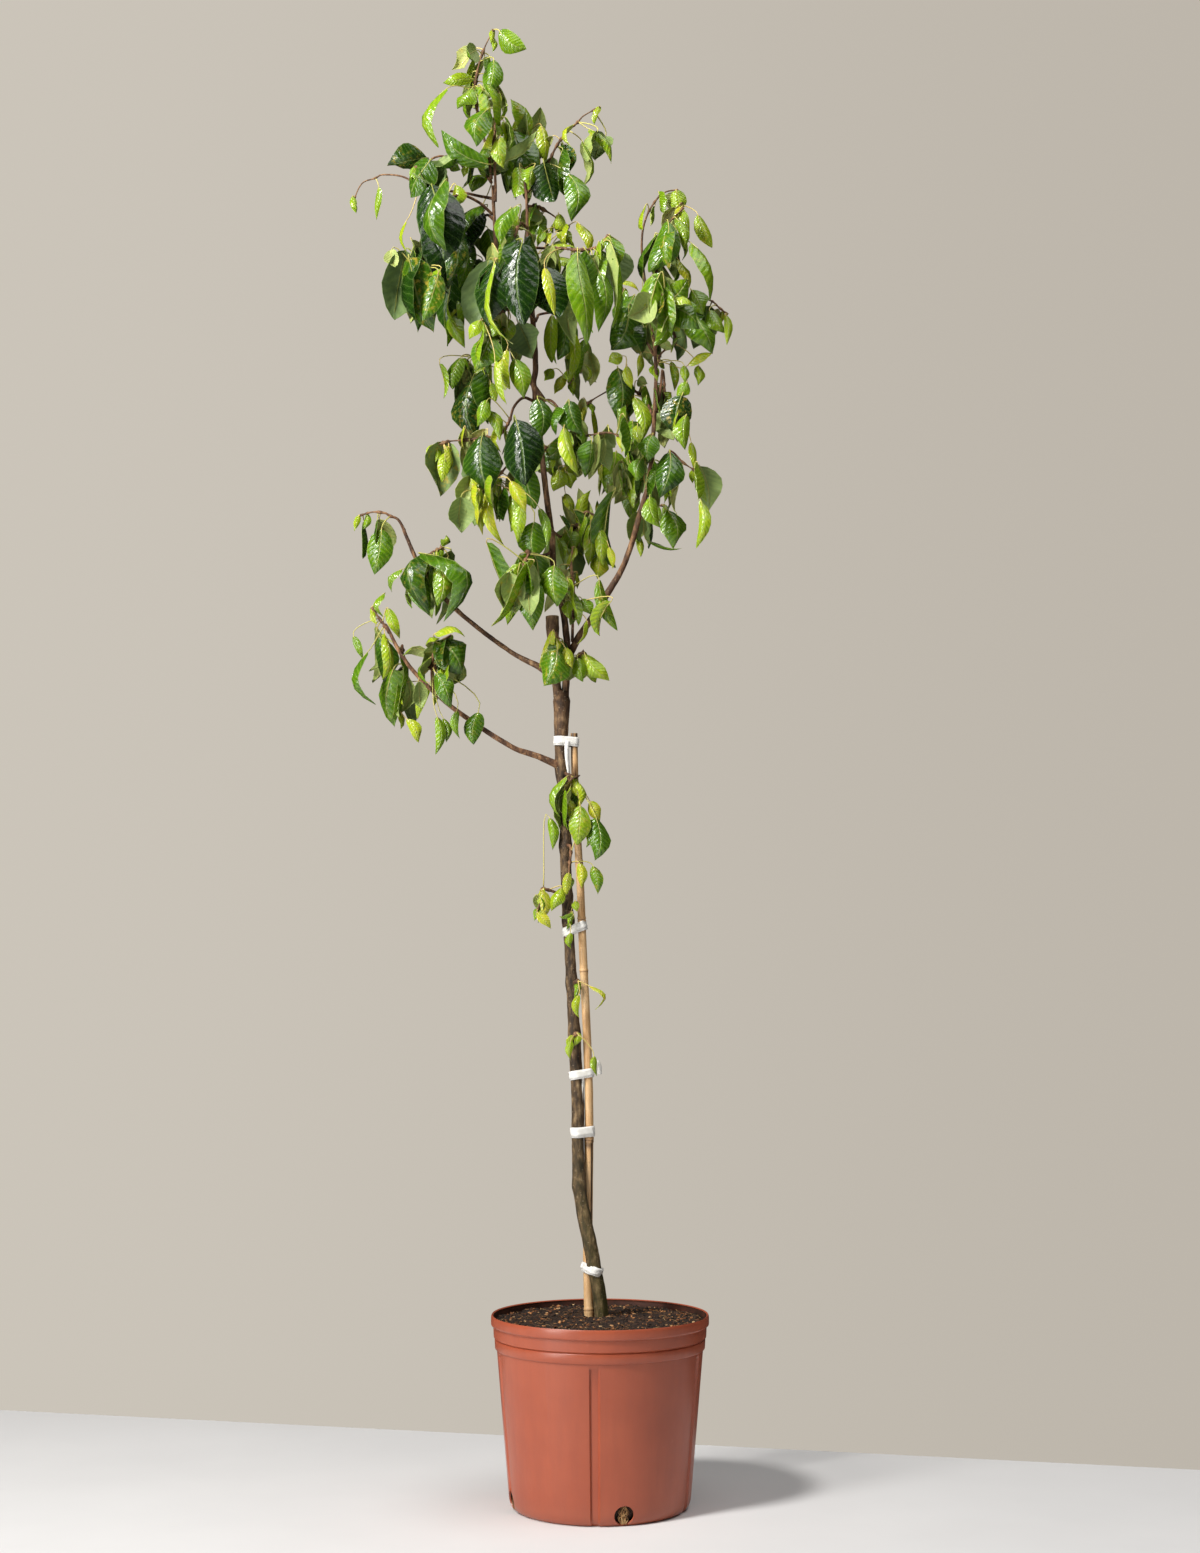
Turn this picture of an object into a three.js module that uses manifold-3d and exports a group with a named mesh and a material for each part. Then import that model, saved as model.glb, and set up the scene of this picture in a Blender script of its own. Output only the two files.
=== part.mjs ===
// Young pear tree in a nursery pot, tied to a bamboo stake.  Millimetres, +Z up.
// The origin is the centre of the pot's underside; +X is to the right and +Y to the back.
import * as THREE from 'three';
import { mergeVertices } from 'three/addons/utils/BufferGeometryUtils.js';
import Module from 'manifold-3d';

const manifold = await Module();
manifold.setup();

// ---- driving dimensions ----
const POT_RIM_DIAMETER = 280;
const POT_HEIGHT = 242;
const POT_BASE_RATIO = 0.79;          // underside radius against rim radius
const POT_WALL = 2.2;
const SOIL_DROP = 6;                  // soil surface below the rim
const TREE_HEIGHT = 1714;             // soil to highest twig
const TREE_SPREAD = 1;                // sideways size of the crown against its drawn size
const TRUNK_DIAMETER = 17;
const STAKE_DIAMETER = 12;
const LEAF_SIZE = 1;                  // leaf breadth and thickness against their drawn size
const CLEARANCE = 0.3;
const LEAF_CLEARANCE = 0.5;           // thin slanting blades need a little more room

const RIM_RADIUS = POT_RIM_DIAMETER / 2;
const BASE_RADIUS = RIM_RADIUS * POT_BASE_RATIO;
const SOIL_TOP = POT_HEIGHT - SOIL_DROP;
const DRAWN_SOIL_TOP = 236;           // the height at which the drawn plant leaves the soil
const DRAWN_TREE_HEIGHT = 1714;
const RISE = TREE_HEIGHT / DRAWN_TREE_HEIGHT;

// ---- solids ----
function solidOf(geometry) {
  const bare = geometry.clone();
  bare.deleteAttribute('normal');
  bare.deleteAttribute('uv');
  const merged = mergeVertices(bare, 1e-4);
  const mesh = new manifold.Mesh({
    numProp: 3,
    vertProperties: Float32Array.from(merged.attributes.position.array),
    triVerts: Uint32Array.from(merged.index.array),
  });
  return new manifold.Manifold(mesh);
}

function geometryOf(solid) {
  const mesh = solid.getMesh();
  const geometry = new THREE.BufferGeometry();
  geometry.setAttribute('position', new THREE.BufferAttribute(mesh.vertProperties, 3));
  geometry.setIndex(new THREE.BufferAttribute(mesh.triVerts, 1));
  geometry.computeVertexNormals();
  return geometry;
}

function unionOf(solids) {
  return solids.reduce((sum, solid) => sum.add(solid));
}

function boxesMeet(a, b) {
  const first = a.boundingBox();
  const second = b.boundingBox();
  return [0, 1, 2].every((k) => first.min[k] < second.max[k] && second.min[k] < first.max[k]);
}

// The solid with room left round every keep-out it meets.
function clearOf(solid, keepOuts) {
  return keepOuts
    .filter((keepOut) => boxesMeet(solid, keepOut))
    .reduce((rest, keepOut) => rest.subtract(keepOut), solid);
}

// A blade crossed by another shoot ends there, so the node is the body that holds the twig.
const SMOOTHING = 0.05;

function mainBody(solid) {
  const bodies = solid.asOriginal().simplify(SMOOTHING).decompose();
  return bodies.reduce((best, one) => (one.volume() > best.volume() ? one : best));
}

const group = new THREE.Group();
group.name = 'potted_pear_tree';

function addPart(name, solid, color, roughness, metalness = 0) {
  const material = new THREE.MeshStandardMaterial({ color, roughness, metalness });
  const mesh = new THREE.Mesh(geometryOf(solid), material);
  mesh.name = name;
  group.add(mesh);
}

// ---- places on the plant ----
// Plant points are drawn as [x, z] in the middle plane, as met by an eye 3 m in front;
// depth then carries a point along its own line of sight, behind (+) or before (-) the plane.
const EYE_DISTANCE = 3000;
const EYE_HEIGHT = 678;

function place(x, z, depth) {
  const reach = (EYE_DISTANCE + depth) / EYE_DISTANCE;
  const height = EYE_HEIGHT + (z - EYE_HEIGHT) * reach;
  return new THREE.Vector3(
    x * reach * TREE_SPREAD,
    depth * TREE_SPREAD,
    SOIL_TOP + (height - DRAWN_SOIL_TOP) * RISE,
  );
}

function lerpList(list, t) {
  const spot = t * (list.length - 1);
  const low = Math.min(Math.floor(spot), list.length - 2);
  return THREE.MathUtils.lerp(list[low], list[low + 1], spot - low);
}

// A tapered rod bent along a smooth curve; radii are spread evenly along its length.
function rod(points, radii, sides, steps, grow = 0) {
  const curve = new THREE.CatmullRomCurve3(points);
  const frames = curve.computeFrenetFrames(steps);
  const geometry = new THREE.CylinderGeometry(1, 1, 1, sides, steps);
  const position = geometry.attributes.position;
  for (let i = 0; i < position.count; i += 1) {
    const t = position.getY(i) + 0.5;
    const step = Math.round(t * steps);
    const radius = lerpList(radii, t) + grow;
    const spot = curve.getPointAt(t)
      .addScaledVector(frames.normals[step], -position.getZ(i) * radius)
      .addScaledVector(frames.binormals[step], -position.getX(i) * radius)
      .addScaledVector(frames.tangents[step], (t - 0.5) * 2 * grow * (t === 0 || t === 1));
    position.setXYZ(i, spot.x, spot.y, spot.z);
  }
  return outwardSolid(geometry);
}

// The bend can turn a closed shape inside out; its faces are flipped back when it does.
function outwardSolid(geometry) {
  const solid = solidOf(geometry);
  if (solid.volume() > 0) {
    return solid;
  }
  const index = geometry.index.array;
  for (let i = 0; i < index.length; i += 3) {
    [index[i], index[i + 1]] = [index[i + 1], index[i]];
  }
  return solidOf(geometry);
}

// ---- pot: thin moulded shell with a stepped collar and a rolled lip ----
const GROOVE_COUNT = 5;
const HOLE_COUNT = 4;

function wallRadius(z) {
  const lowWall = BASE_RADIUS + 4.5;
  const highWall = RIM_RADIUS * 0.945;
  return THREE.MathUtils.lerp(lowWall, highWall, z / (POT_HEIGHT * 0.82));
}

function potShell() {
  const collar = POT_HEIGHT * 0.823;
  const band = POT_HEIGHT * 0.885;
  const lip = POT_HEIGHT * 0.945;
  const lipRound = (POT_HEIGHT - lip) * 0.3;
  const profile = new THREE.Path();
  profile.moveTo(0, 0);
  profile.lineTo(BASE_RADIUS - 5, 0);
  profile.quadraticCurveTo(BASE_RADIUS + 4, 0, wallRadius(14), 14);
  profile.lineTo(wallRadius(collar), collar);
  profile.lineTo(RIM_RADIUS * 0.962, collar);
  profile.lineTo(RIM_RADIUS * 0.966, band - 3);
  profile.lineTo(RIM_RADIUS * 0.955, band - 1.5);
  profile.lineTo(RIM_RADIUS * 0.974, band);
  profile.lineTo(RIM_RADIUS * 0.978, lip);
  profile.lineTo(RIM_RADIUS, lip);
  profile.lineTo(RIM_RADIUS, POT_HEIGHT - lipRound);
  profile.quadraticCurveTo(RIM_RADIUS, POT_HEIGHT, RIM_RADIUS - lipRound, POT_HEIGHT);
  profile.lineTo(RIM_RADIUS * 0.978 - POT_WALL, POT_HEIGHT);
  profile.lineTo(RIM_RADIUS * 0.955 - POT_WALL, band);
  profile.lineTo(wallRadius(collar) - POT_WALL, collar);
  profile.lineTo(wallRadius(14) - POT_WALL, 14);
  profile.lineTo(BASE_RADIUS - 5, POT_WALL);
  profile.lineTo(0, POT_WALL);
  const geometry = new THREE.LatheGeometry(profile.getPoints(2), 36);
  geometry.rotateX(Math.PI / 2);
  return outwardSolid(geometry);
}

function potGroove(turn) {
  const top = POT_HEIGHT * 0.81;
  const lean = Math.atan2(wallRadius(top) - wallRadius(0), top);
  const bar = new THREE.BoxGeometry(12, 6, top);
  bar.rotateX(lean);
  bar.translate(0, -(wallRadius(top / 2) + 3 - POT_WALL * 0.45), top / 2 + 12);
  bar.rotateZ(turn);
  return solidOf(bar);
}

function drainHole(turn) {
  const bore = new THREE.CylinderGeometry(10.5, 10.5, 30, 12);
  bore.translate(0, -BASE_RADIUS, 14);
  bore.rotateZ(turn);
  return solidOf(bore);
}

const potCuts = [];
for (let i = 0; i < GROOVE_COUNT; i += 1) {
  potCuts.push(potGroove(-0.05 + (i * 2 * Math.PI) / GROOVE_COUNT));
}
for (let i = 0; i < HOLE_COUNT; i += 1) {
  potCuts.push(drainHole(0.26 + (i * 2 * Math.PI) / HOLE_COUNT));
}
addPart('pot', mainBody(potShell().subtract(unionOf(potCuts))), 0xb8603f, 0.45);

// ---- wood: trunk with roots, pruned stub, leader and side limbs ----
// Each path is a list of [x, z, depth]; a limb starts inside the wood it grows from.
const WOOD = TRUNK_DIAMETER / 17;
const pathOf = (rows) => rows.map(([x, z, depth]) => place(x, z, depth));
const thick = (radii) => radii.map((radius) => radius * WOOD);

const TRUNK_PATH = [
  [2, 170, 1], [2, 236, 0], [0, 262, -2], [-7, 300, -7], [-16, 345, -8], [-24, 382, -6],
  [-27, 402, -4], [-28, 440, -1], [-29, 520, 0], [-33, 590, 0], [-36, 650, 0],
  [-40, 720, 0], [-43, 770, 0], [-45, 840, 0], [-46, 900, 0], [-51, 960, 0], [-50, 1048, 0],
];
const TRUNK_RADII = thick([15, 9.5, 8.6, 9.2, 8.2, 8.2, 8.2, 8, 7.4, 7, 6.8, 7.2, 7, 7.4, 8.4, 11]);
const ROOTS = [
  [[2, 205, 0], [30, 190, -14], [70, 150, -34], [92, 95, -46]],
  [[2, 200, 0], [-28, 180, -22], [-62, 135, -50], [-78, 80, -62]],
  [[2, 205, 0], [-30, 185, 20], [-70, 150, 44], [-84, 90, 62]],
  [[2, 200, 0], [24, 175, 24], [58, 130, 52], [70, 70, 66]],
  [[2, 190, 0], [6, 140, 4], [-4, 90, -8], [4, 45, 4]],
];

function rootRod(rows, grow) {
  return rod(pathOf(rows), thick([7, 4.5, 3, 1.6]), 4, 4, grow);
}

function trunkSolid(grow) {
  const stem = rod(pathOf(TRUNK_PATH), TRUNK_RADII, 8, 26, grow);
  return unionOf([stem, ...ROOTS.map((rows) => rootRod(rows, grow))]);
}

const LIMBS = {
  pruned_stub: {
    paths: [{ rows: [[-55, 1040, -2], [-61, 1090, -4], [-62, 1115, -5], [-63, 1147, -5]],
      radii: [7, 5.4, 5.8, 9], sides: 8, steps: 4 }],
  },
  leader: {
    paths: [
      { rows: [[-46, 1040, 1], [-43, 1100, 2], [-46, 1140, 2], [-55, 1180, 0], [-62, 1215, 0],
        [-62, 1240, 0], [-70, 1300, 0], [-79, 1380, 2], [-86, 1440, 4], [-86, 1500, 4],
        [-90, 1550, 4], [-97, 1640, 0], [-98, 1710, -6], [-103, 1748, -8]],
      radii: [6.5, 5.2, 4.8, 4.8, 4.6, 4.6, 4.4, 4, 2.8, 2], sides: 6, steps: 20 },
      { rows: [[-87, 1455, 4], [-104, 1480, 10], [-124, 1530, 12], [-136, 1610, 10],
        [-142, 1690, 6], [-144, 1740, 2]],
      radii: [3.8, 3.4, 3.2, 3, 2.8, 2.4], sides: 6, steps: 7 },
    ],
  },
  right_limb: {
    paths: [{ rows: [[-46, 1082, 2], [-33, 1112, 0], [-20, 1131, -2], [10, 1178, -4],
      [35, 1222, -4], [50, 1275, -4], [64, 1322, -2], [70, 1380, 0], [74, 1450, 0],
      [74, 1500, 0], [68, 1545, 0], [64, 1580, 0]],
    radii: [5, 4.4, 4.2, 4.2, 4, 3.8, 3.4, 3, 2.6, 2.2], sides: 6, steps: 14 }],
  },
  lower_left_limb: {
    paths: [{ rows: [[-50, 948, -2], [-66, 957, -6], [-108, 970, -10], [-157, 1000, -14],
      [-205, 1035, -16], [-255, 1085, -18], [-280, 1132, -18]],
    radii: [5.5, 3.6, 3.2, 3, 2.7, 2.2], sides: 6, steps: 9 }],
  },
  upper_left_limb: {
    paths: [{ rows: [[-54, 1062, 6], [-70, 1075, 8], [-105, 1092, 10], [-165, 1135, 12],
      [-212, 1178, 12], [-243, 1222, 8], [-258, 1260, 6]],
    radii: [5, 3.4, 3, 2.8, 2.6, 2.2], sides: 6, steps: 9 }],
  },
};

function limbSolid(limb, grow) {
  return unionOf(limb.paths.map((path) => (
    rod(pathOf(path.rows), thick(path.radii), path.sides, path.steps, grow))));
}

const keepOuts = [trunkSolid(CLEARANCE)];
addPart('trunk', mainBody(trunkSolid(0)), 0x4d4234, 0.9);
for (const [name, limb] of Object.entries(LIMBS)) {
  addPart(name, mainBody(clearOf(limbSolid(limb, 0), keepOuts)), 0x5b4331, 0.85);
  keepOuts.push(limbSolid(limb, CLEARANCE));
}

// ---- stake: a bamboo cane with raised nodes, pushed into the soil beside the trunk ----
const STAKE_PATH = [
  [-12, 60, -4], [-14, 236, -2], [-15.5, 280, 4], [-16, 320, 8], [-15, 380, 8], [-14.5, 430, 4],
  [-14, 500, 1], [-17, 600, 0], [-22, 700, 0], [-26, 800, 0], [-32, 900, 0], [-34, 992, 0],
];
const STAKE_NODE_HEIGHTS = [246, 462, 680, 748];

function stakeSolid(grow) {
  const slim = STAKE_DIAMETER / 2;
  const cane = rod(pathOf(STAKE_PATH), [slim, slim, slim * 0.92, slim * 0.85, slim * 0.75], 8, 18,
    grow);
  const curve = new THREE.CatmullRomCurve3(pathOf(STAKE_PATH));
  const spots = curve.getSpacedPoints(400);
  const rings = STAKE_NODE_HEIGHTS.map((height) => {
    const level = place(0, height, 0).z;
    const middle = spots.reduce((a, b) => (Math.abs(b.z - level) < Math.abs(a.z - level) ? b : a));
    const radius = slim * (height > 700 ? 1 : 1.08) + grow;
    const ring = new THREE.CylinderGeometry(radius, radius, 4 + grow * 2, 8);
    ring.rotateX(Math.PI / 2);
    ring.translate(middle.x, middle.y, middle.z);
    return solidOf(ring);
  });
  return unionOf([cane, ...rings]);
}

addPart('stake', mainBody(clearOf(stakeSolid(0), keepOuts)), 0xd9a45c, 0.5);
keepOuts.push(stakeSolid(CLEARANCE));

// ---- soil: potting mix that fills the pot and wraps the roots and the stake ----
function soilBody() {
  const inset = POT_WALL + CLEARANCE;
  const collar = POT_HEIGHT * 0.823;
  const edge = SOIL_TOP - 3;
  const profile = new THREE.Path();
  profile.moveTo(0, inset);
  profile.lineTo(BASE_RADIUS - 5, inset);
  profile.lineTo(wallRadius(14) - inset - 0.4, 14.5);
  profile.lineTo(wallRadius(collar) - inset - 0.4, collar);
  profile.lineTo(RIM_RADIUS * 0.955 - inset - 0.6, edge - 8);
  profile.lineTo(RIM_RADIUS * 0.955 - inset - 0.6, edge);
  profile.lineTo(RIM_RADIUS * 0.6, SOIL_TOP);
  profile.lineTo(RIM_RADIUS * 0.3, SOIL_TOP + 1);
  profile.lineTo(0, SOIL_TOP + 1);
  const geometry = new THREE.LatheGeometry(profile.getPoints(1), 36);
  geometry.rotateX(Math.PI / 2);
  const position = geometry.attributes.position;
  for (let i = 0; i < position.count; i += 1) {
    if (position.getZ(i) > edge - 1) {
      const wave = Math.sin(position.getX(i) * 0.09) + Math.sin(position.getY(i) * 0.075 + 1);
      position.setZ(i, position.getZ(i) + wave);
    }
  }
  return outwardSolid(geometry);
}

const soil = soilBody();
addPart('soil', mainBody(clearOf(soil, keepOuts)), 0x2f231c, 1);
keepOuts.push(soil);

// ---- ties: white tape bands round the trunk and the stake ----
const TIES = {
  tie_top: { height: 981, width: 12, tilt: 0.05, tail: [[-47, 978, -9], [-42, 950, -10], [-39, 924, -9]] },
  tie_upper: { height: 736, width: 9, tilt: -0.35 },
  tie_middle: { height: 548, width: 10, tilt: -0.15, tail: [[-9, 545, -8], [1, 551, -14], [-3, 566, -10]] },
  tie_lower: { height: 474, width: 13, tilt: -0.08 },
  tie_base: { height: 298, width: 9, tilt: 0.3 },
};

function pointAtHeight(rows, height) {
  const above = rows.findIndex((row) => row[1] > height);
  const low = rows[above - 1];
  const high = rows[above];
  const t = (height - low[1]) / (high[1] - low[1]);
  return place(...[0, 1, 2].map((k) => THREE.MathUtils.lerp(low[k], high[k], t)));
}

// The line of a tape drawn tight round two round stems.
function tapeLine(stems, margin) {
  const points = [];
  for (let i = 0; i < 16; i += 1) {
    const angle = (i * 2 * Math.PI) / 16;
    const way = new THREE.Vector2(Math.cos(angle), Math.sin(angle));
    const ends = stems.map((stem) => stem.centre.clone().addScaledVector(way, stem.radius + margin));
    points.push(ends[0].dot(way) > ends[1].dot(way) ? ends[0] : ends[1]);
  }
  return points;
}

function tieSolid({ height, width, tilt, tail }, grow) {
  const trunkSpot = pointAtHeight(TRUNK_PATH, height);
  const stakeSpot = pointAtHeight(STAKE_PATH, height);
  const stems = [
    { centre: new THREE.Vector2(trunkSpot.x, trunkSpot.y), radius: TRUNK_DIAMETER * 0.53 },
    { centre: new THREE.Vector2(stakeSpot.x, stakeSpot.y), radius: STAKE_DIAMETER * 0.55 },
  ];
  const band = new THREE.Shape(tapeLine(stems, 2.6 + grow));
  band.holes.push(new THREE.Path(tapeLine(stems, 1.2 - grow)));
  const geometry = new THREE.ExtrudeGeometry(band, { depth: width + grow * 2, bevelEnabled: false });
  const middle = stems[0].centre.clone().lerp(stems[1].centre, 0.5);
  geometry.translate(-middle.x, -middle.y, -width / 2 - grow);
  geometry.rotateY(tilt);
  geometry.translate(middle.x, middle.y, trunkSpot.z);
  const solids = [solidOf(geometry)];
  if (tail) {
    solids.push(rod(pathOf(tail), [3.2, 3, 2.2], 4, 3, grow));
  }
  return unionOf(solids);
}

for (const [name, tie] of Object.entries(TIES)) {
  addPart(name, mainBody(clearOf(tieSolid(tie, 0), keepOuts)), 0xf4f2ea, 0.6);
}
keepOuts.push(...Object.values(TIES).map((tie) => tieSolid(tie, CLEARANCE)));

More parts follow.
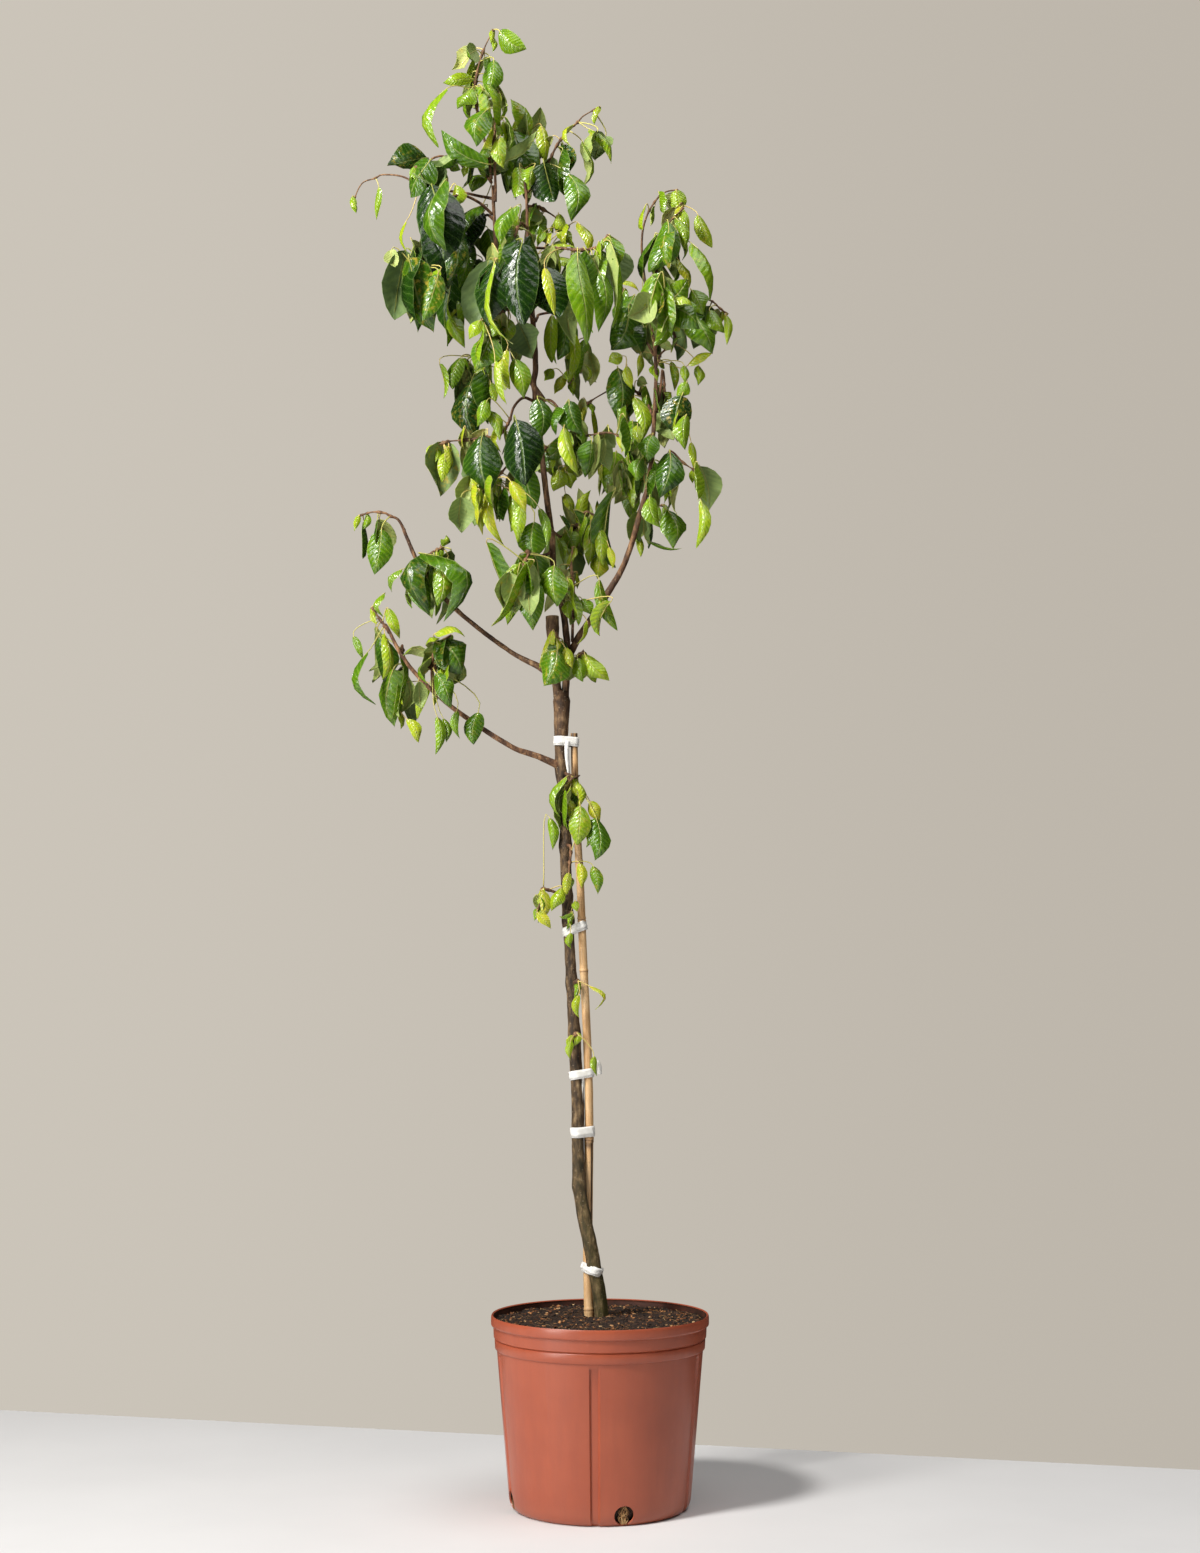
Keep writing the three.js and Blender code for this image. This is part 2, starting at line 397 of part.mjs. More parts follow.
// ---- leafy shoots: a slim twig with its stalked blades, one grown body each ----
// Leaf rows: stalk end [x, z], tip [x, z], breadth, depth, turn of the face about the midrib in
// degrees (0 faces the front, 180 the back), bow of the midrib, tone (0 dark green, 1 yellow).
// behind: how much further back the whole shoot leans, from the foot of its twig on.
const SHOOTS = {
  top_shoot: {
    twig: [[-144, 1738, 2], [-150, 1772, 0], [-165, 1835, -4], [-168, 1866, -6], [-162, 1902, -6],
      [-152, 1930, -4], [-143, 1948, -2]],
    leaves: [
      [-136, 1945, -99, 1919, 25, -8, 20, 0.1, 0.75],
      [-143, 1905, -150, 1858, 24, -22, 0, 0.08, 0.6],
      [-171, 1878, -211, 1872, 15, -16, -30, 0.12, 0.95],
      [-172, 1866, -192, 1836, 24, -34, 20, 0.16, 0.55],
      [-166, 1868, -158, 1852, 11, -20, 0, 0.1, 0.8],
      [-206, 1865, -217, 1783, 20, -24, 55, 0.2, 0.6],
    ],
  },
  top_side_shoot: {
    twig: [[-142, 1698, 5], [-140, 1740, -4], [-143, 1785, -8], [-139, 1825, -10], [-138, 1858, -10]],
    leaves: [
      [-151, 1836, -166, 1784, 32, -46, 0, 0.1, 0.55],
      [-150, 1760, -213, 1807, 23, -30, -20, 0.1, 0.55],
      [-134, 1798, -129, 1754, 18, -34, 10, 0.1, 0.85],
      [-146, 1785, -160, 1762, 18, -20, 30, 0.2, 0.3],
    ],
  },
  crown_tip_shoot: {
    behind: 50,
    twig: [[-101, 1738, -8], [-104, 1770, -2], [-100, 1800, 4]],
    leaves: [
      [-96, 1799, -120, 1850, 23, -12, 20, 0.08, 0.5],
      [-92, 1800, -94, 1827, 20, 10, 0, 0.06, 0.85],
      [-79, 1814, -73, 1762, 17, -20, -20, 0.12, 0.7],
      [-117, 1806, -82, 1752, 42, -34, 0, 0.1, 0.4],
      [-121, 1795, -124, 1722, 18, -18, 30, 0.08, 0.3],
      [-103, 1750, -116, 1714, 26, -50, 20, 0.12, 0.15],
      [-88, 1758, -94, 1729, 20, -60, -10, 0.08, 0.6],
    ],
  },
  slender_twig: {
    behind: 40,
    twig: [[-97, 1722, -6], [-84, 1738, -14], [-70, 1762, -16], [-54, 1792, -14], [-38, 1811, -12],
      [-18, 1830, -10], [0, 1839, -10]],
    leaves: [
      [-15, 1809, 15, 1761, 15, -20, -35, 0.2, 0.85],
      [-79, 1752, -62, 1708, 36, -42, -15, 0.14, 0.45],
      [-44, 1748, -38, 1681, 30, -28, -10, 0.12, 0.6],
    ],
  },
  left_arch_twig: {
    behind: 50,
    twig: [[-144, 1712, 8], [-190, 1722, -4], [-235, 1728, -12], [-262, 1742, -14], [-288, 1746, -14],
      [-310, 1740, -14], [-324, 1728, -14], [-331, 1708, -14]],
    leaves: [
      [-297, 1729, -299, 1683, 9, -20, 20, 0.08, 0.6],
      [-260, 1681, -257, 1638, 13, -14, 60, 0.22, 0.6],
    ],
  },
  upper_left_shoot: {
    behind: 30,
    twig: [[-144, 1734, 2], [-166, 1758, -8], [-186, 1757, -14], [-200, 1768, -16], [-216, 1771, -16],
      [-232, 1762, -16]],
    leaves: [
      [-232, 1769, -285, 1759, 34, -26, -40, 0.16, 0.35],
      [-222, 1752, -254, 1714, 38, -34, 10, 0.2, 0.02],
      [-196, 1751, -244, 1748, 26, -44, -40, 0.14, 0.12],
      [-200, 1762, -187, 1752, 12, -30, 0, 0.1, 0.8],
      [-178, 1757, -183, 1742, 10, -30, 0, 0.1, 0.1],
    ],
  },
  left_outer_shoot: {
    twig: [[-142, 1690, 6], [-170, 1712, -14], [-196, 1716, -28], [-218, 1690, -30], [-220, 1650, -28],
      [-214, 1615, -26]],
    leaves: [
      [-208, 1738, -206, 1640, 32, -66, 50, 0.2, 0.5],
      [-226, 1732, -208, 1610, 56, -38, 10, 0.1, 0.1],
      [-234, 1624, -222, 1530, 44, -34, 30, 0.14, 0.35],
      [-212, 1607, -250, 1597, 13, -52, 0, 0.2, 0.95],
      [-215, 1604, -236, 1545, 25, -56, 0, 0.08, 0.4],
      [-190, 1728, -198, 1700, 20, -20, 20, 0.1, 0.15],
    ],
  },
  left_inner_shoot: {
    behind: 85,
    twig: [[-142, 1684, 6], [-160, 1690, -18], [-172, 1660, -26], [-190, 1615, -26]],
    leaves: [
      [-156, 1704, -186, 1646, 24, -66, 30, 0.2, 0.5],
      [-162, 1698, -184, 1632, 46, -36, 20, 0.16, 0.05],
      [-190, 1602, -188, 1520, 36, -40, 10, 0.1, 0.03],
      [-206, 1560, -180, 1508, 20, -50, 20, 0.12, 0.4],
      [-152, 1745, -172, 1722, 20, -56, 20, 0.2, 0.6],
      [-150, 1672, -140, 1628, 30, -30, 0, 0.1, 0.05],
    ],
  },
  front_shoot: {
    twig: [[-97, 1672, -2], [-108, 1680, -34], [-112, 1665, -52], [-126, 1640, -52], [-140, 1628, -48]],
    leaves: [
      [-104, 1652, -101, 1540, 48, -84, 0, 0.07, 0.5],
      [-110, 1704, -133, 1650, 20, -74, 20, 0.1, 0.65],
      [-142, 1627, -150, 1538, 48, -64, 25, 0.16, 0.15],
      [-141, 1625, -116, 1514, 13, -84, 70, 0.14, 0.85],
      [-120, 1700, -132, 1665, 22, -50, 10, 0.1, 0.3],
    ],
  },
  front_left_hanger: {
    twig: [[-88, 1545, 2], [-104, 1560, -30], [-128, 1560, -44], [-146, 1540, -44]],
    leaves: [
      [-146, 1526, -166, 1477, 38, -60, 20, 0.14, 0.1],
      [-160, 1546, -175, 1520, 16, -72, 20, 0.12, 0.7],
      [-124, 1506, -120, 1452, 16, -66, 20, 0.1, 0.8],
      [-114, 1494, -101, 1440, 24, -56, 0, 0.12, 0.6],
      [-140, 1491, -124, 1432, 12, -82, 50, 0.08, 0.85],
      [-120, 1548, -128, 1512, 22, -40, 10, 0.1, 0.5],
    ],
  },
  inner_right_shoot: {
    behind: 75,
    twig: [[-98, 1702, -6], [-80, 1700, -26], [-58, 1686, -34], [-42, 1672, -36]],
    leaves: [
      [-30, 1680, -15, 1635, 15, -44, -20, 0.14, 0.4],
      [-56, 1692, -46, 1668, 16, -50, 0, 0.1, 0.8], [-58, 1666, -38, 1650, 14, -56, 0, 0.14, 0.55],
      [-74, 1668, -84, 1646, 11, -60, 20, 0.14, 0.9],
      [-80, 1638, -32, 1645, 12, -78, -60, 0.1, 0.7],
      [-62, 1634, -33, 1611, 15, -66, -40, 0.12, 0.5],
      [-92, 1690, -72, 1664, 26, -30, 0, 0.08, 0.1],
    ],
  },
  right_front_shoot: {
    twig: [[-96, 1645, -2], [-78, 1645, -30], [-54, 1645, -46], [-20, 1642, -48], [6, 1652, -46],
      [12, 1664, -46]],
    leaves: [
      [-72, 1620, -54, 1549, 48, -66, 0, 0.1, 0.03],
      [-74, 1618, -60, 1552, 13, -92, -20, 0.1, 0.3],
      [-30, 1640, -18, 1514, 32, -78, -30, 0.08, 0.9],
      [-4, 1618, -2, 1530, 26, -62, -20, 0.12, 0.6], [12, 1660, 19, 1610, 22, -50, 20, 0.14, 0.35],
      [-84, 1612, -64, 1560, 30, -46, 0, 0.1, 0.1],
    ],
  },
  middle_right_shoot: {
    behind: 80,
    twig: [[-88, 1545, 2], [-74, 1556, -20], [-56, 1556, -34], [-40, 1545, -36], [-28, 1505, -36],
      [-26, 1478, -36], [-42, 1458, -36]],
    leaves: [
      [-64, 1554, -64, 1488, 16, -58, 0, 0.08, 0.6], [-48, 1552, -56, 1492, 26, -46, 0, 0.1, 0.15],
      [-38, 1532, -43, 1461, 13, -52, 10, 0.06, 0.65],
      [-20, 1521, -24, 1496, 14, -44, 10, 0.12, 0.8],
      [-62, 1480, -74, 1464, 14, -46, 0, 0.1, 0.15],
      [-48, 1472, -61, 1446, 14, -44, 20, 0.16, 0.6],
      [-44, 1478, -40, 1462, 12, -50, 0, 0.1, 0.75],
    ],
  },
  outer_left_low_shoot: {
    behind: 70,
    twig: [[-128, 1545, 12], [-148, 1530, -4], [-168, 1500, -14], [-176, 1486, -16], [-186, 1482, -16]],
    leaves: [
      [-179, 1488, -196, 1452, 19, -28, 20, 0.16, 0.65],
      [-196, 1478, -208, 1440, 13, -30, 50, 0.2, 0.45],
      [-168, 1472, -164, 1386, 44, -44, 15, 0.08, 0.2],
      [-150, 1492, -150, 1446, 20, -36, 0, 0.1, 0.15],
      [-146, 1462, -138, 1436, 16, -50, 0, 0.1, 0.3],
    ],
  },
  low_left_shoot: {
    twig: [[-86, 1436, 4], [-106, 1440, -16], [-118, 1420, -24], [-124, 1395, -26], [-140, 1390, -26],
      [-165, 1385, -22], [-200, 1382, -20], [-222, 1376, -20]],
    leaves: [
      [-150, 1438, -163, 1402, 16, -48, 10, 0.14, 0.95],
      [-152, 1424, -133, 1383, 15, -38, 0, 0.16, 0.3],
      [-156, 1391, -148, 1312, 44, -52, 10, 0.08, 0.25],
      [-206, 1366, -210, 1327, 14, -26, 0, 0.06, 0.65],
      [-168, 1342, -171, 1308, 14, -46, 20, 0.12, 0.85],
    ],
  },
  low_left_hanger: {
    twig: [[-80, 1390, 2], [-98, 1384, -20], [-122, 1350, -28], [-140, 1330, -28]],
    leaves: [
      [-165, 1320, -160, 1283, 13, -50, 10, 0.1, 0.6],
      [-150, 1316, -155, 1256, 11, -48, 30, 0.08, 0.15],
      [-146, 1312, -127, 1242, 13, -56, 0, 0.12, 0.3],
      [-137, 1331, -130, 1301, 12, -34, 0, 0.1, 0.15],
      [-119, 1329, -98, 1286, 16, -70, 10, 0.12, 0.7],
      [-118, 1310, -118, 1260, 18, -46, 10, 0.1, 0.65],
      [-103, 1297, -109, 1245, 16, -62, 0, 0.12, 0.8],
      [-112, 1412, -99, 1322, 46, -88, 0, 0.08, 0.45],
      [-87, 1274, -88, 1225, 34, -32, 0, 0.08, 0.15],
      [-80, 1292, -70, 1234, 11, -44, 0, 0.08, 0.7], [-100, 1345, -86, 1290, 28, -30, 0, 0.1, 0.1],
    ],
  },
  right_face_shoot: {
    twig: [[-83, 1420, 4], [-72, 1440, -20], [-58, 1430, -30], [-44, 1408, -34], [-24, 1388, -34],
      [2, 1394, -30], [20, 1392, -28], [32, 1387, -26]],
    leaves: [
      [-83, 1440, -81, 1384, 28, -58, -15, 0.12, 0.55],
      [-41, 1437, -24, 1391, 30, -50, -15, 0.1, 0.2],
      [-48, 1401, -28, 1335, 18, -60, -10, 0.1, 0.6],
      [-11, 1384, -20, 1333, 26, -44, -30, 0.22, 0.5],
    ],
  },
  right_low_shoot: {
    behind: 85,
    twig: [[-77, 1368, 2], [-64, 1372, -16], [-48, 1362, -24], [-40, 1346, -28]],
    leaves: [
      [-44, 1391, -78, 1354, 20, -50, -20, 0.12, 0.1],
      [-62, 1361, -73, 1338, 14, -48, 20, 0.14, 0.85],
      [-55, 1344, -62, 1315, 20, -50, 0, 0.12, 0.7],
      [-45, 1341, -38, 1318, 17, -42, 0, 0.12, 0.75],
      [-46, 1312, -34, 1284, 12, -36, 0, 0.1, 0.65],
    ],
  },
  fork_left_shoot: {
    twig: [[-62, 1235, 0], [-76, 1228, -14], [-92, 1232, -20], [-104, 1240, -22], [-118, 1250, -22]],
    leaves: [
      [-118, 1246, -101, 1152, 32, -36, 45, 0.16, 0.5],
      [-95, 1230, -108, 1176, 22, -52, 20, 0.14, 0.75],
      [-86, 1226, -92, 1168, 30, -34, 0, 0.08, 0.15],
      [-82, 1192, -88, 1129, 28, -58, 0, 0.08, 0.7],
      [-100, 1230, -96, 1204, 10, -62, 20, 0.2, 0.95],
      [-60, 1216, -57, 1160, 32, -48, 0, 0.12, 0.65],
      [-72, 1222, -80, 1186, 14, -30, 20, 0.1, 0.3],
    ],
  },
  round_cluster: {
    behind: 60,
    twig: [[-64, 1262, 0], [-46, 1252, -10], [-40, 1262, -14], [-24, 1272, -18], [-6, 1274, -20],
      [10, 1270, -20]],
    leaves: [
      [-20, 1287, 20, 1212, 32, -30, -50, 0.24, 0.45],
      [-13, 1271, -15, 1215, 18, -46, 10, 0.08, 0.4], [-1, 1266, 4, 1215, 15, -50, 0, 0.08, 0.15],
      [0, 1230, -4, 1197, 22, -44, 0, 0.12, 0.65], [12, 1240, 17, 1211, 9, -56, 0, 0.1, 0.9],
      [-38, 1264, -4, 1302, 18, -32, 60, 0.26, 0.08], [-45, 1262, -33, 1234, 24, -34, 0, 0.1, 0.8],
      [-56, 1252, -48, 1216, 11, -40, 20, 0.14, 0.85],
    ],
  },
  upright_twig: {
    twig: [[-35, 1112, 0], [-36, 1140, -6], [-35, 1180, -8], [-38, 1215, -8], [-36, 1240, -8]],
    leaves: [
      [-24, 1171, -12, 1150, 16, -22, 0, 0.12, 0.35],
      [-38, 1171, -40, 1143, 13, -26, 0, 0.12, 0.6], [-5, 1192, 23, 1128, 15, -20, -15, 0.08, 0.8],
      [2, 1164, 0, 1121, 18, -26, -30, 0.2, 0.5], [-17, 1141, -30, 1110, 13, -28, -60, 0.26, 0.65],
    ],
  },
  fork_face_leaf: {
    twig: [[-60, 1118, -4], [-62, 1122, -12], [-58, 1126, -18]],
    leaves: [
      [-56, 1122, -80, 1078, 11, -26, 20, 0.14, 0.9],
      [-56, 1104, -74, 1055, 36, -44, 0, 0.08, 0.6], [-46, 1106, -36, 1078, 12, -34, 0, 0.1, 0.4],
    ],
  },
  limb_pair: {
    twig: [[-36, 1080, 2], [-28, 1096, -6], [-20, 1100, -8]],
    leaves: [
      [-20, 1097, 12, 1062, 22, -16, -10, 0.14, 0.7],
      [-30, 1092, -22, 1060, 17, -22, 0, 0.12, 0.7],
    ],
  },
  whip_shoot: {
    behind: 25,
    twig: [[66, 1550, 0], [60, 1600, -4], [56, 1642, -8], [57, 1668, -8], [66, 1696, -8],
      [80, 1716, -8], [94, 1725, -8], [110, 1727, -8]],
    leaves: [
      [102, 1722, 107, 1692, 20, -16, 0, 0.08, 0.9],
      [131, 1691, 150, 1645, 17, -20, -20, 0.1, 0.75],
      [110, 1699, 119, 1660, 11, -22, 0, 0.1, 0.7],
    ],
  },
  right_upper_shoot: {
    twig: [[66, 1548, 0], [74, 1590, -16], [78, 1640, -22], [88, 1672, -24], [100, 1688, -24],
      [112, 1700, -22]],
    leaves: [
      [91, 1682, 65, 1611, 31, -46, 10, 0.08, 0.6], [102, 1686, 112, 1641, 13, -34, 0, 0.1, 0.75],
      [122, 1652, 147, 1572, 27, -34, -50, 0.2, 0.6],
      [105, 1629, 119, 1590, 14, -30, -30, 0.14, 0.45], [66, 1600, 62, 1582, 12, -30, 0, 0.1, 0.5],
    ],
  },
  star_shoot: {
    twig: [[70, 1530, 0], [78, 1552, -28], [88, 1567, -48]],
    leaves: [
      [84, 1604, 72, 1530, 30, -60, 10, 0.1, 0.45], [89, 1568, 117, 1602, 28, -66, 10, 0.08, 0.35],
      [91, 1562, 132, 1534, 34, -56, 0, 0.12, 0.25],
      [92, 1572, 124, 1566, 16, -76, -40, 0.1, 0.45],
    ],
  },
  right_outer_shoot: {
    behind: 60,
    twig: [[73, 1510, 0], [96, 1550, -14], [120, 1580, -22], [148, 1573, -24], [160, 1565, -24],
      [172, 1553, -24]],
    leaves: [
      [122, 1588, 138, 1554, 26, -44, 0, 0.14, 0.05],
      [126, 1560, 150, 1500, 36, -40, -20, 0.12, 0.3],
      [146, 1560, 168, 1528, 20, -34, -10, 0.1, 0.4],
      [168, 1553, 169, 1512, 10, -40, 0, 0.1, 0.85],
    ],
  },
  right_inner_shoot: {
    behind: 85,
    twig: [[72, 1500, 0], [56, 1530, -20], [44, 1572, -28], [30, 1590, -26]],
    leaves: [
      [46, 1580, 26, 1528, 36, -42, 15, 0.12, 0.1], [60, 1580, 56, 1526, 28, -34, 0, 0.1, 0.03],
      [28, 1600, 52, 1585, 13, -34, -40, 0.18, 0.15], [27, 1596, 18, 1580, 9, -28, 0, 0.1, 0.12],
      [5, 1529, 38, 1505, 16, -52, 150, 0.18, 0.3], [38, 1556, 14, 1506, 40, -34, 0, 0.14, 0.1],
    ],
  },
  right_low_cluster: {
    behind: 60,
    twig: [[74, 1480, 0], [86, 1506, -16], [104, 1518, -26], [126, 1506, -28]],
    leaves: [
      [86, 1542, 72, 1492, 34, -52, 0, 0.12, 0.3], [106, 1530, 116, 1486, 30, -44, 0, 0.14, 0.3],
      [117, 1485, 149, 1501, 16, -44, -40, 0.18, 0.1],
      [112, 1485, 113, 1460, 11, -48, 0, 0.1, 0.92], [131, 1485, 130, 1457, 13, -36, 0, 0.1, 0.85],
      [95, 1490, 99, 1450, 10, -40, 0, 0.1, 0.9], [54, 1500, 50, 1468, 9, -20, 0, 0.1, 0.4],
    ],
  },
  right_arch_shoot: {
    behind: 25,
    twig: [[73, 1417, 0], [86, 1418, -12], [96, 1410, -18], [104, 1398, -20], [108, 1380, -20]],
    leaves: [
      [84, 1477, 76, 1421, 18, -24, 0, 0.1, 0.35], [116, 1463, 102, 1441, 16, -30, 10, 0.14, 0.4],
      [108, 1440, 100, 1392, 36, -36, 0, 0.1, 0.88],
      [115, 1418, 113, 1370, 20, -50, -10, 0.1, 0.75],
      [121, 1381, 125, 1341, 10, -34, -10, 0.12, 0.85],
    ],
  },
  left_reach_shoot: {
    behind: 65,
    twig: [[71, 1416, 0], [56, 1444, -14], [42, 1452, -20], [28, 1454, -22], [12, 1451, -22],
      [-2, 1443, -22], [-20, 1431, -22]],
    leaves: [
      [30, 1498, 11, 1490, 16, -40, 0, 0.12, 0.85], [24, 1482, 24, 1409, 34, -36, 0, 0.08, 0.8],
      [46, 1442, 55, 1380, 18, -40, -10, 0.1, 0.75], [36, 1484, 42, 1452, 12, -46, 0, 0.1, 0.85],
      [62, 1440, 62, 1416, 12, -30, 0, 0.14, 0.8],
    ],
  },
  right_middle_shoot: {
    twig: [[68, 1352, 0], [62, 1372, -14], [48, 1390, -20]],
    leaves: [
      [43, 1406, 42, 1368, 20, -30, 0, 0.12, 0.1], [70, 1391, 64, 1355, 26, -44, 20, 0.2, 0.25],
      [56, 1360, 48, 1328, 20, -36, 0, 0.12, 0.3], [62, 1328, 82, 1340, 15, -28, -30, 0.2, 0.08],
      [50, 1404, 52, 1378, 12, -40, 0, 0.1, 0.7],
    ],
  },
  right_pale_shoot: {
    behind: 70,
    twig: [[66, 1335, -2], [48, 1350, -16], [34, 1366, -20]],
    leaves: [
      [24, 1363, 10, 1312, 30, -40, 10, 0.12, 0.6], [36, 1362, 46, 1312, 18, -32, 0, 0.12, 0.15],
      [28, 1330, 40, 1278, 22, -30, 0, 0.08, 0.6], [30, 1350, 32, 1302, 20, -50, 0, 0.1, 0.35],
    ],
  },
  right_hanging_shoot: {
    twig: [[62, 1312, -2], [74, 1330, -14], [90, 1370, -18], [112, 1352, -16], [132, 1340, -14]],
    leaves: [
      [93, 1368, 79, 1305, 34, -36, 0, 0.1, 0.6], [66, 1308, 80, 1266, 20, -26, 0, 0.1, 0.4],
      [131, 1334, 142, 1300, 11, -22, 0, 0.1, 0.75],
      [133, 1304, 127, 1238, 14, -24, 10, 0.12, 0.75],
    ],
  },
  right_facing_shoot: {
    behind: 45,
    twig: [[52, 1282, -4], [66, 1292, -14], [84, 1296, -18]],
    leaves: [
      [89, 1290, 97, 1237, 32, -34, -10, 0.14, 0.6],
      [64, 1246, 108, 1238, 11, -24, 110, 0.12, 0.35], [51, 1255, 54, 1226, 9, -16, 0, 0.1, 0.95],
    ],
  },
  upper_limb_shoot: {
    twig: [[-258, 1262, 6], [-272, 1281, 4], [-298, 1287, 4], [-318, 1282, 4]],
    leaves: [
      [-289, 1264, -298, 1203, 30, -8, 0, 0.06, 0.7],
    ],
  },
  ring_leaf_shoot: {
    twig: [[-226, 1196, 10], [-232, 1220, -6], [-214, 1238, -14], [-208, 1240, -16]],
    leaves: [
      [-238, 1232, -206, 1140, 34, -30, -60, 0.5, 0.3],
      [-208, 1240, -204, 1256, 14, -18, 60, 0.3, 0.6],
      [-214, 1220, -214, 1160, 24, -42, 0, 0.08, 0.05],
      [-246, 1215, -226, 1150, 26, -36, 0, 0.1, 0.15],
      [-262, 1210, -275, 1180, 12, -14, 50, 0.3, 0.1],
      [-200, 1190, -190, 1176, 12, -10, 0, 0.1, 0.3],
    ],
  },
  lower_tip_shoot: {
    behind: 30,
    twig: [[-278, 1126, -18], [-290, 1144, -18], [-302, 1160, -18]],
    leaves: [
      [-285, 1178, -285, 1146, 12, -22, 60, 0.4, 0.3],
      [-280, 1158, -264, 1118, 13, -32, 0, 0.1, 0.9],
      [-302, 1150, -276, 1130, 10, -26, 0, 0.1, 0.7],
      [-325, 1121, -312, 1090, 9, -20, 0, 0.1, 0.7],
      [-306, 1100, -295, 1030, 18, -26, 65, 0.34, 0.45],
    ],
  },
  lower_middle_shoot: {
    behind: 60,
    twig: [[-262, 1098, -18], [-256, 1118, -28], [-240, 1122, -34]],
    leaves: [
      [-290, 1120, -284, 1060, 26, -40, 0, 0.1, 0.55],
      [-292, 1066, -268, 1030, 18, -34, 0, 0.16, 0.12],
      [-258, 1108, -238, 1060, 26, -44, 0, 0.12, 0.35],
      [-260, 1072, -270, 1001, 32, -28, 20, 0.14, 0.12],
      [-225, 1054, -240, 1010, 11, -46, 0, 0.1, 0.7],
      [-254, 1011, -238, 980, 14, -38, 0, 0.12, 0.7],
    ],
  },
  lower_inner_shoot: {
    twig: [[-220, 1050, -17], [-222, 1080, -26], [-212, 1112, -32], [-196, 1122, -32]],
    leaves: [
      [-218, 1114, -182, 1070, 40, -42, -10, 0.18, 0.12],
      [-218, 1124, -178, 1120, 20, -50, -50, 0.16, 0.6],
      [-216, 1072, -196, 1026, 22, -52, 10, 0.24, 0.25],
      [-214, 1014, -216, 964, 12, -40, 0, 0.06, 0.75],
      [-206, 1012, -202, 980, 10, -30, 0, 0.06, 0.7],
      [-188, 1022, -184, 985, 10, -30, 0, 0.1, 0.6],
      [-160, 1020, -166, 977, 22, -28, 0, 0.08, 0.85],
    ],
  },
  trunk_tuft_high: {
    twig: [[-48, 938, 0], [-44, 940, -10], [-42, 937, -13]],
    leaves: [
      [-44, 935, -52, 881, 15, -22, 60, 0.3, 0.25], [-46, 908, -40, 882, 12, -20, 0, 0.1, 0.1],
      [-26, 897, -30, 845, 25, -28, 0, 0.12, 0.6], [-5, 881, -7, 825, 26, -26, -10, 0.06, 0.7],
      [-13, 903, 0, 876, 15, -18, 0, 0.1, 0.75],
    ],
  },
  trunk_tuft_middle: {
    twig: [[-45, 845, 0], [-42, 846, -10], [-38, 842, -14]],
    leaves: [
      [-40, 838, -36, 800, 15, -24, 0, 0.1, 0.85], [-27, 822, -24, 788, 12, -22, 0, 0.1, 0.65],
      [-41, 808, -43, 780, 10, -26, 0, 0.1, 0.75], [-9, 818, -3, 781, 14, -20, 0, 0.14, 0.9],
      [-20, 868, -18, 842, 9, -20, -30, 0.2, 0.15],
    ],
  },
  trunk_tuft_left: {
    twig: [[-43, 776, 0], [-54, 781, -8], [-66, 786, -10], [-76, 788, -10]],
    leaves: [
      [-66, 881, -62, 839, 12, -8, 0, 0.1, 0.5], [-50, 790, -63, 759, 16, -20, 20, 0.2, 0.25],
      [-76, 786, -78, 745, 13, -16, 0, 0.1, 0.8], [-82, 758, -64, 736, 12, -22, 0, 0.14, 0.75],
    ],
  },
  trunk_tuft_low: {
    twig: [[-41, 742, 0], [-42, 752, -10], [-38, 757, -13]],
    leaves: [
      [-35, 753, -53, 752, 9, -18, -50, 0.14, 0.7], [-32, 772, -30, 758, 9, -18, 0, 0.1, 0.5],
      [-39, 731, -38, 710, 9, -20, 0, 0.1, 0.15],
    ],
  },
  trunk_sprout_upper: {
    twig: [[-37, 660, 0], [-34, 666, -8], [-28, 668, -14]],
    leaves: [[-14, 662, -6, 631, 9, -18, -70, 0.5, 0.45], [-28, 650, -27, 620, 9, -20, 0, 0.05, 0.85]],
  },
  trunk_sprout_lower: {
    twig: [[-33, 590, 0], [-34, 598, -8], [-30, 601, -14]],
    leaves: [[-38, 591, -38, 566, 9, -18, 0, 0.1, 0.8], [-8, 571, -4, 545, 9, -18, -20, 0.16, 0.7]],
  },
};

for (const { behind = 0, twig, leaves } of Object.values(SHOOTS)) {
  twig.slice(1).forEach((row) => { row[2] += behind; });
  leaves.forEach((row) => { row[5] += behind; });
}

const STALK_RADIUS = 0.9;
const TWIG_RADII = [2.3, 1.8, 1.5, 1.1];
const LEAF_THICKNESS = 1.6 * LEAF_SIZE;

function leafFrame([baseX, baseZ, tipX, tipZ, width, depth, turn, bow]) {
  const base = place(baseX, baseZ, depth);
  const tip = place(tipX, tipZ, depth);
  const along = tip.clone().sub(base);
  const length = along.length();
  along.normalize();
  const front = new THREE.Vector3(0, -1, 0).projectOnPlane(along).normalize();
  const aside = along.clone().cross(front);
  const face = front.clone().applyAxisAngle(along, THREE.MathUtils.degToRad(turn));
  const side = aside.applyAxisAngle(along, THREE.MathUtils.degToRad(turn));
  const middle = base.clone().lerp(tip, 0.5).addScaledVector(face, bow * length * 2);
  const rib = new THREE.QuadraticBezierCurve3(base, middle, tip);
  return { rib, side, breadth: width * LEAF_SIZE };
}

// A leaf in one body: a slim stalk from the heart of the twig, then a blade folded along its rib.
// Each blade ring is [share of the blade's length, share of its breadth, lift of the edges].
const BLADE_RINGS = [[0.36, 1, 0.25], [0.72, 0.72, 0.25]];

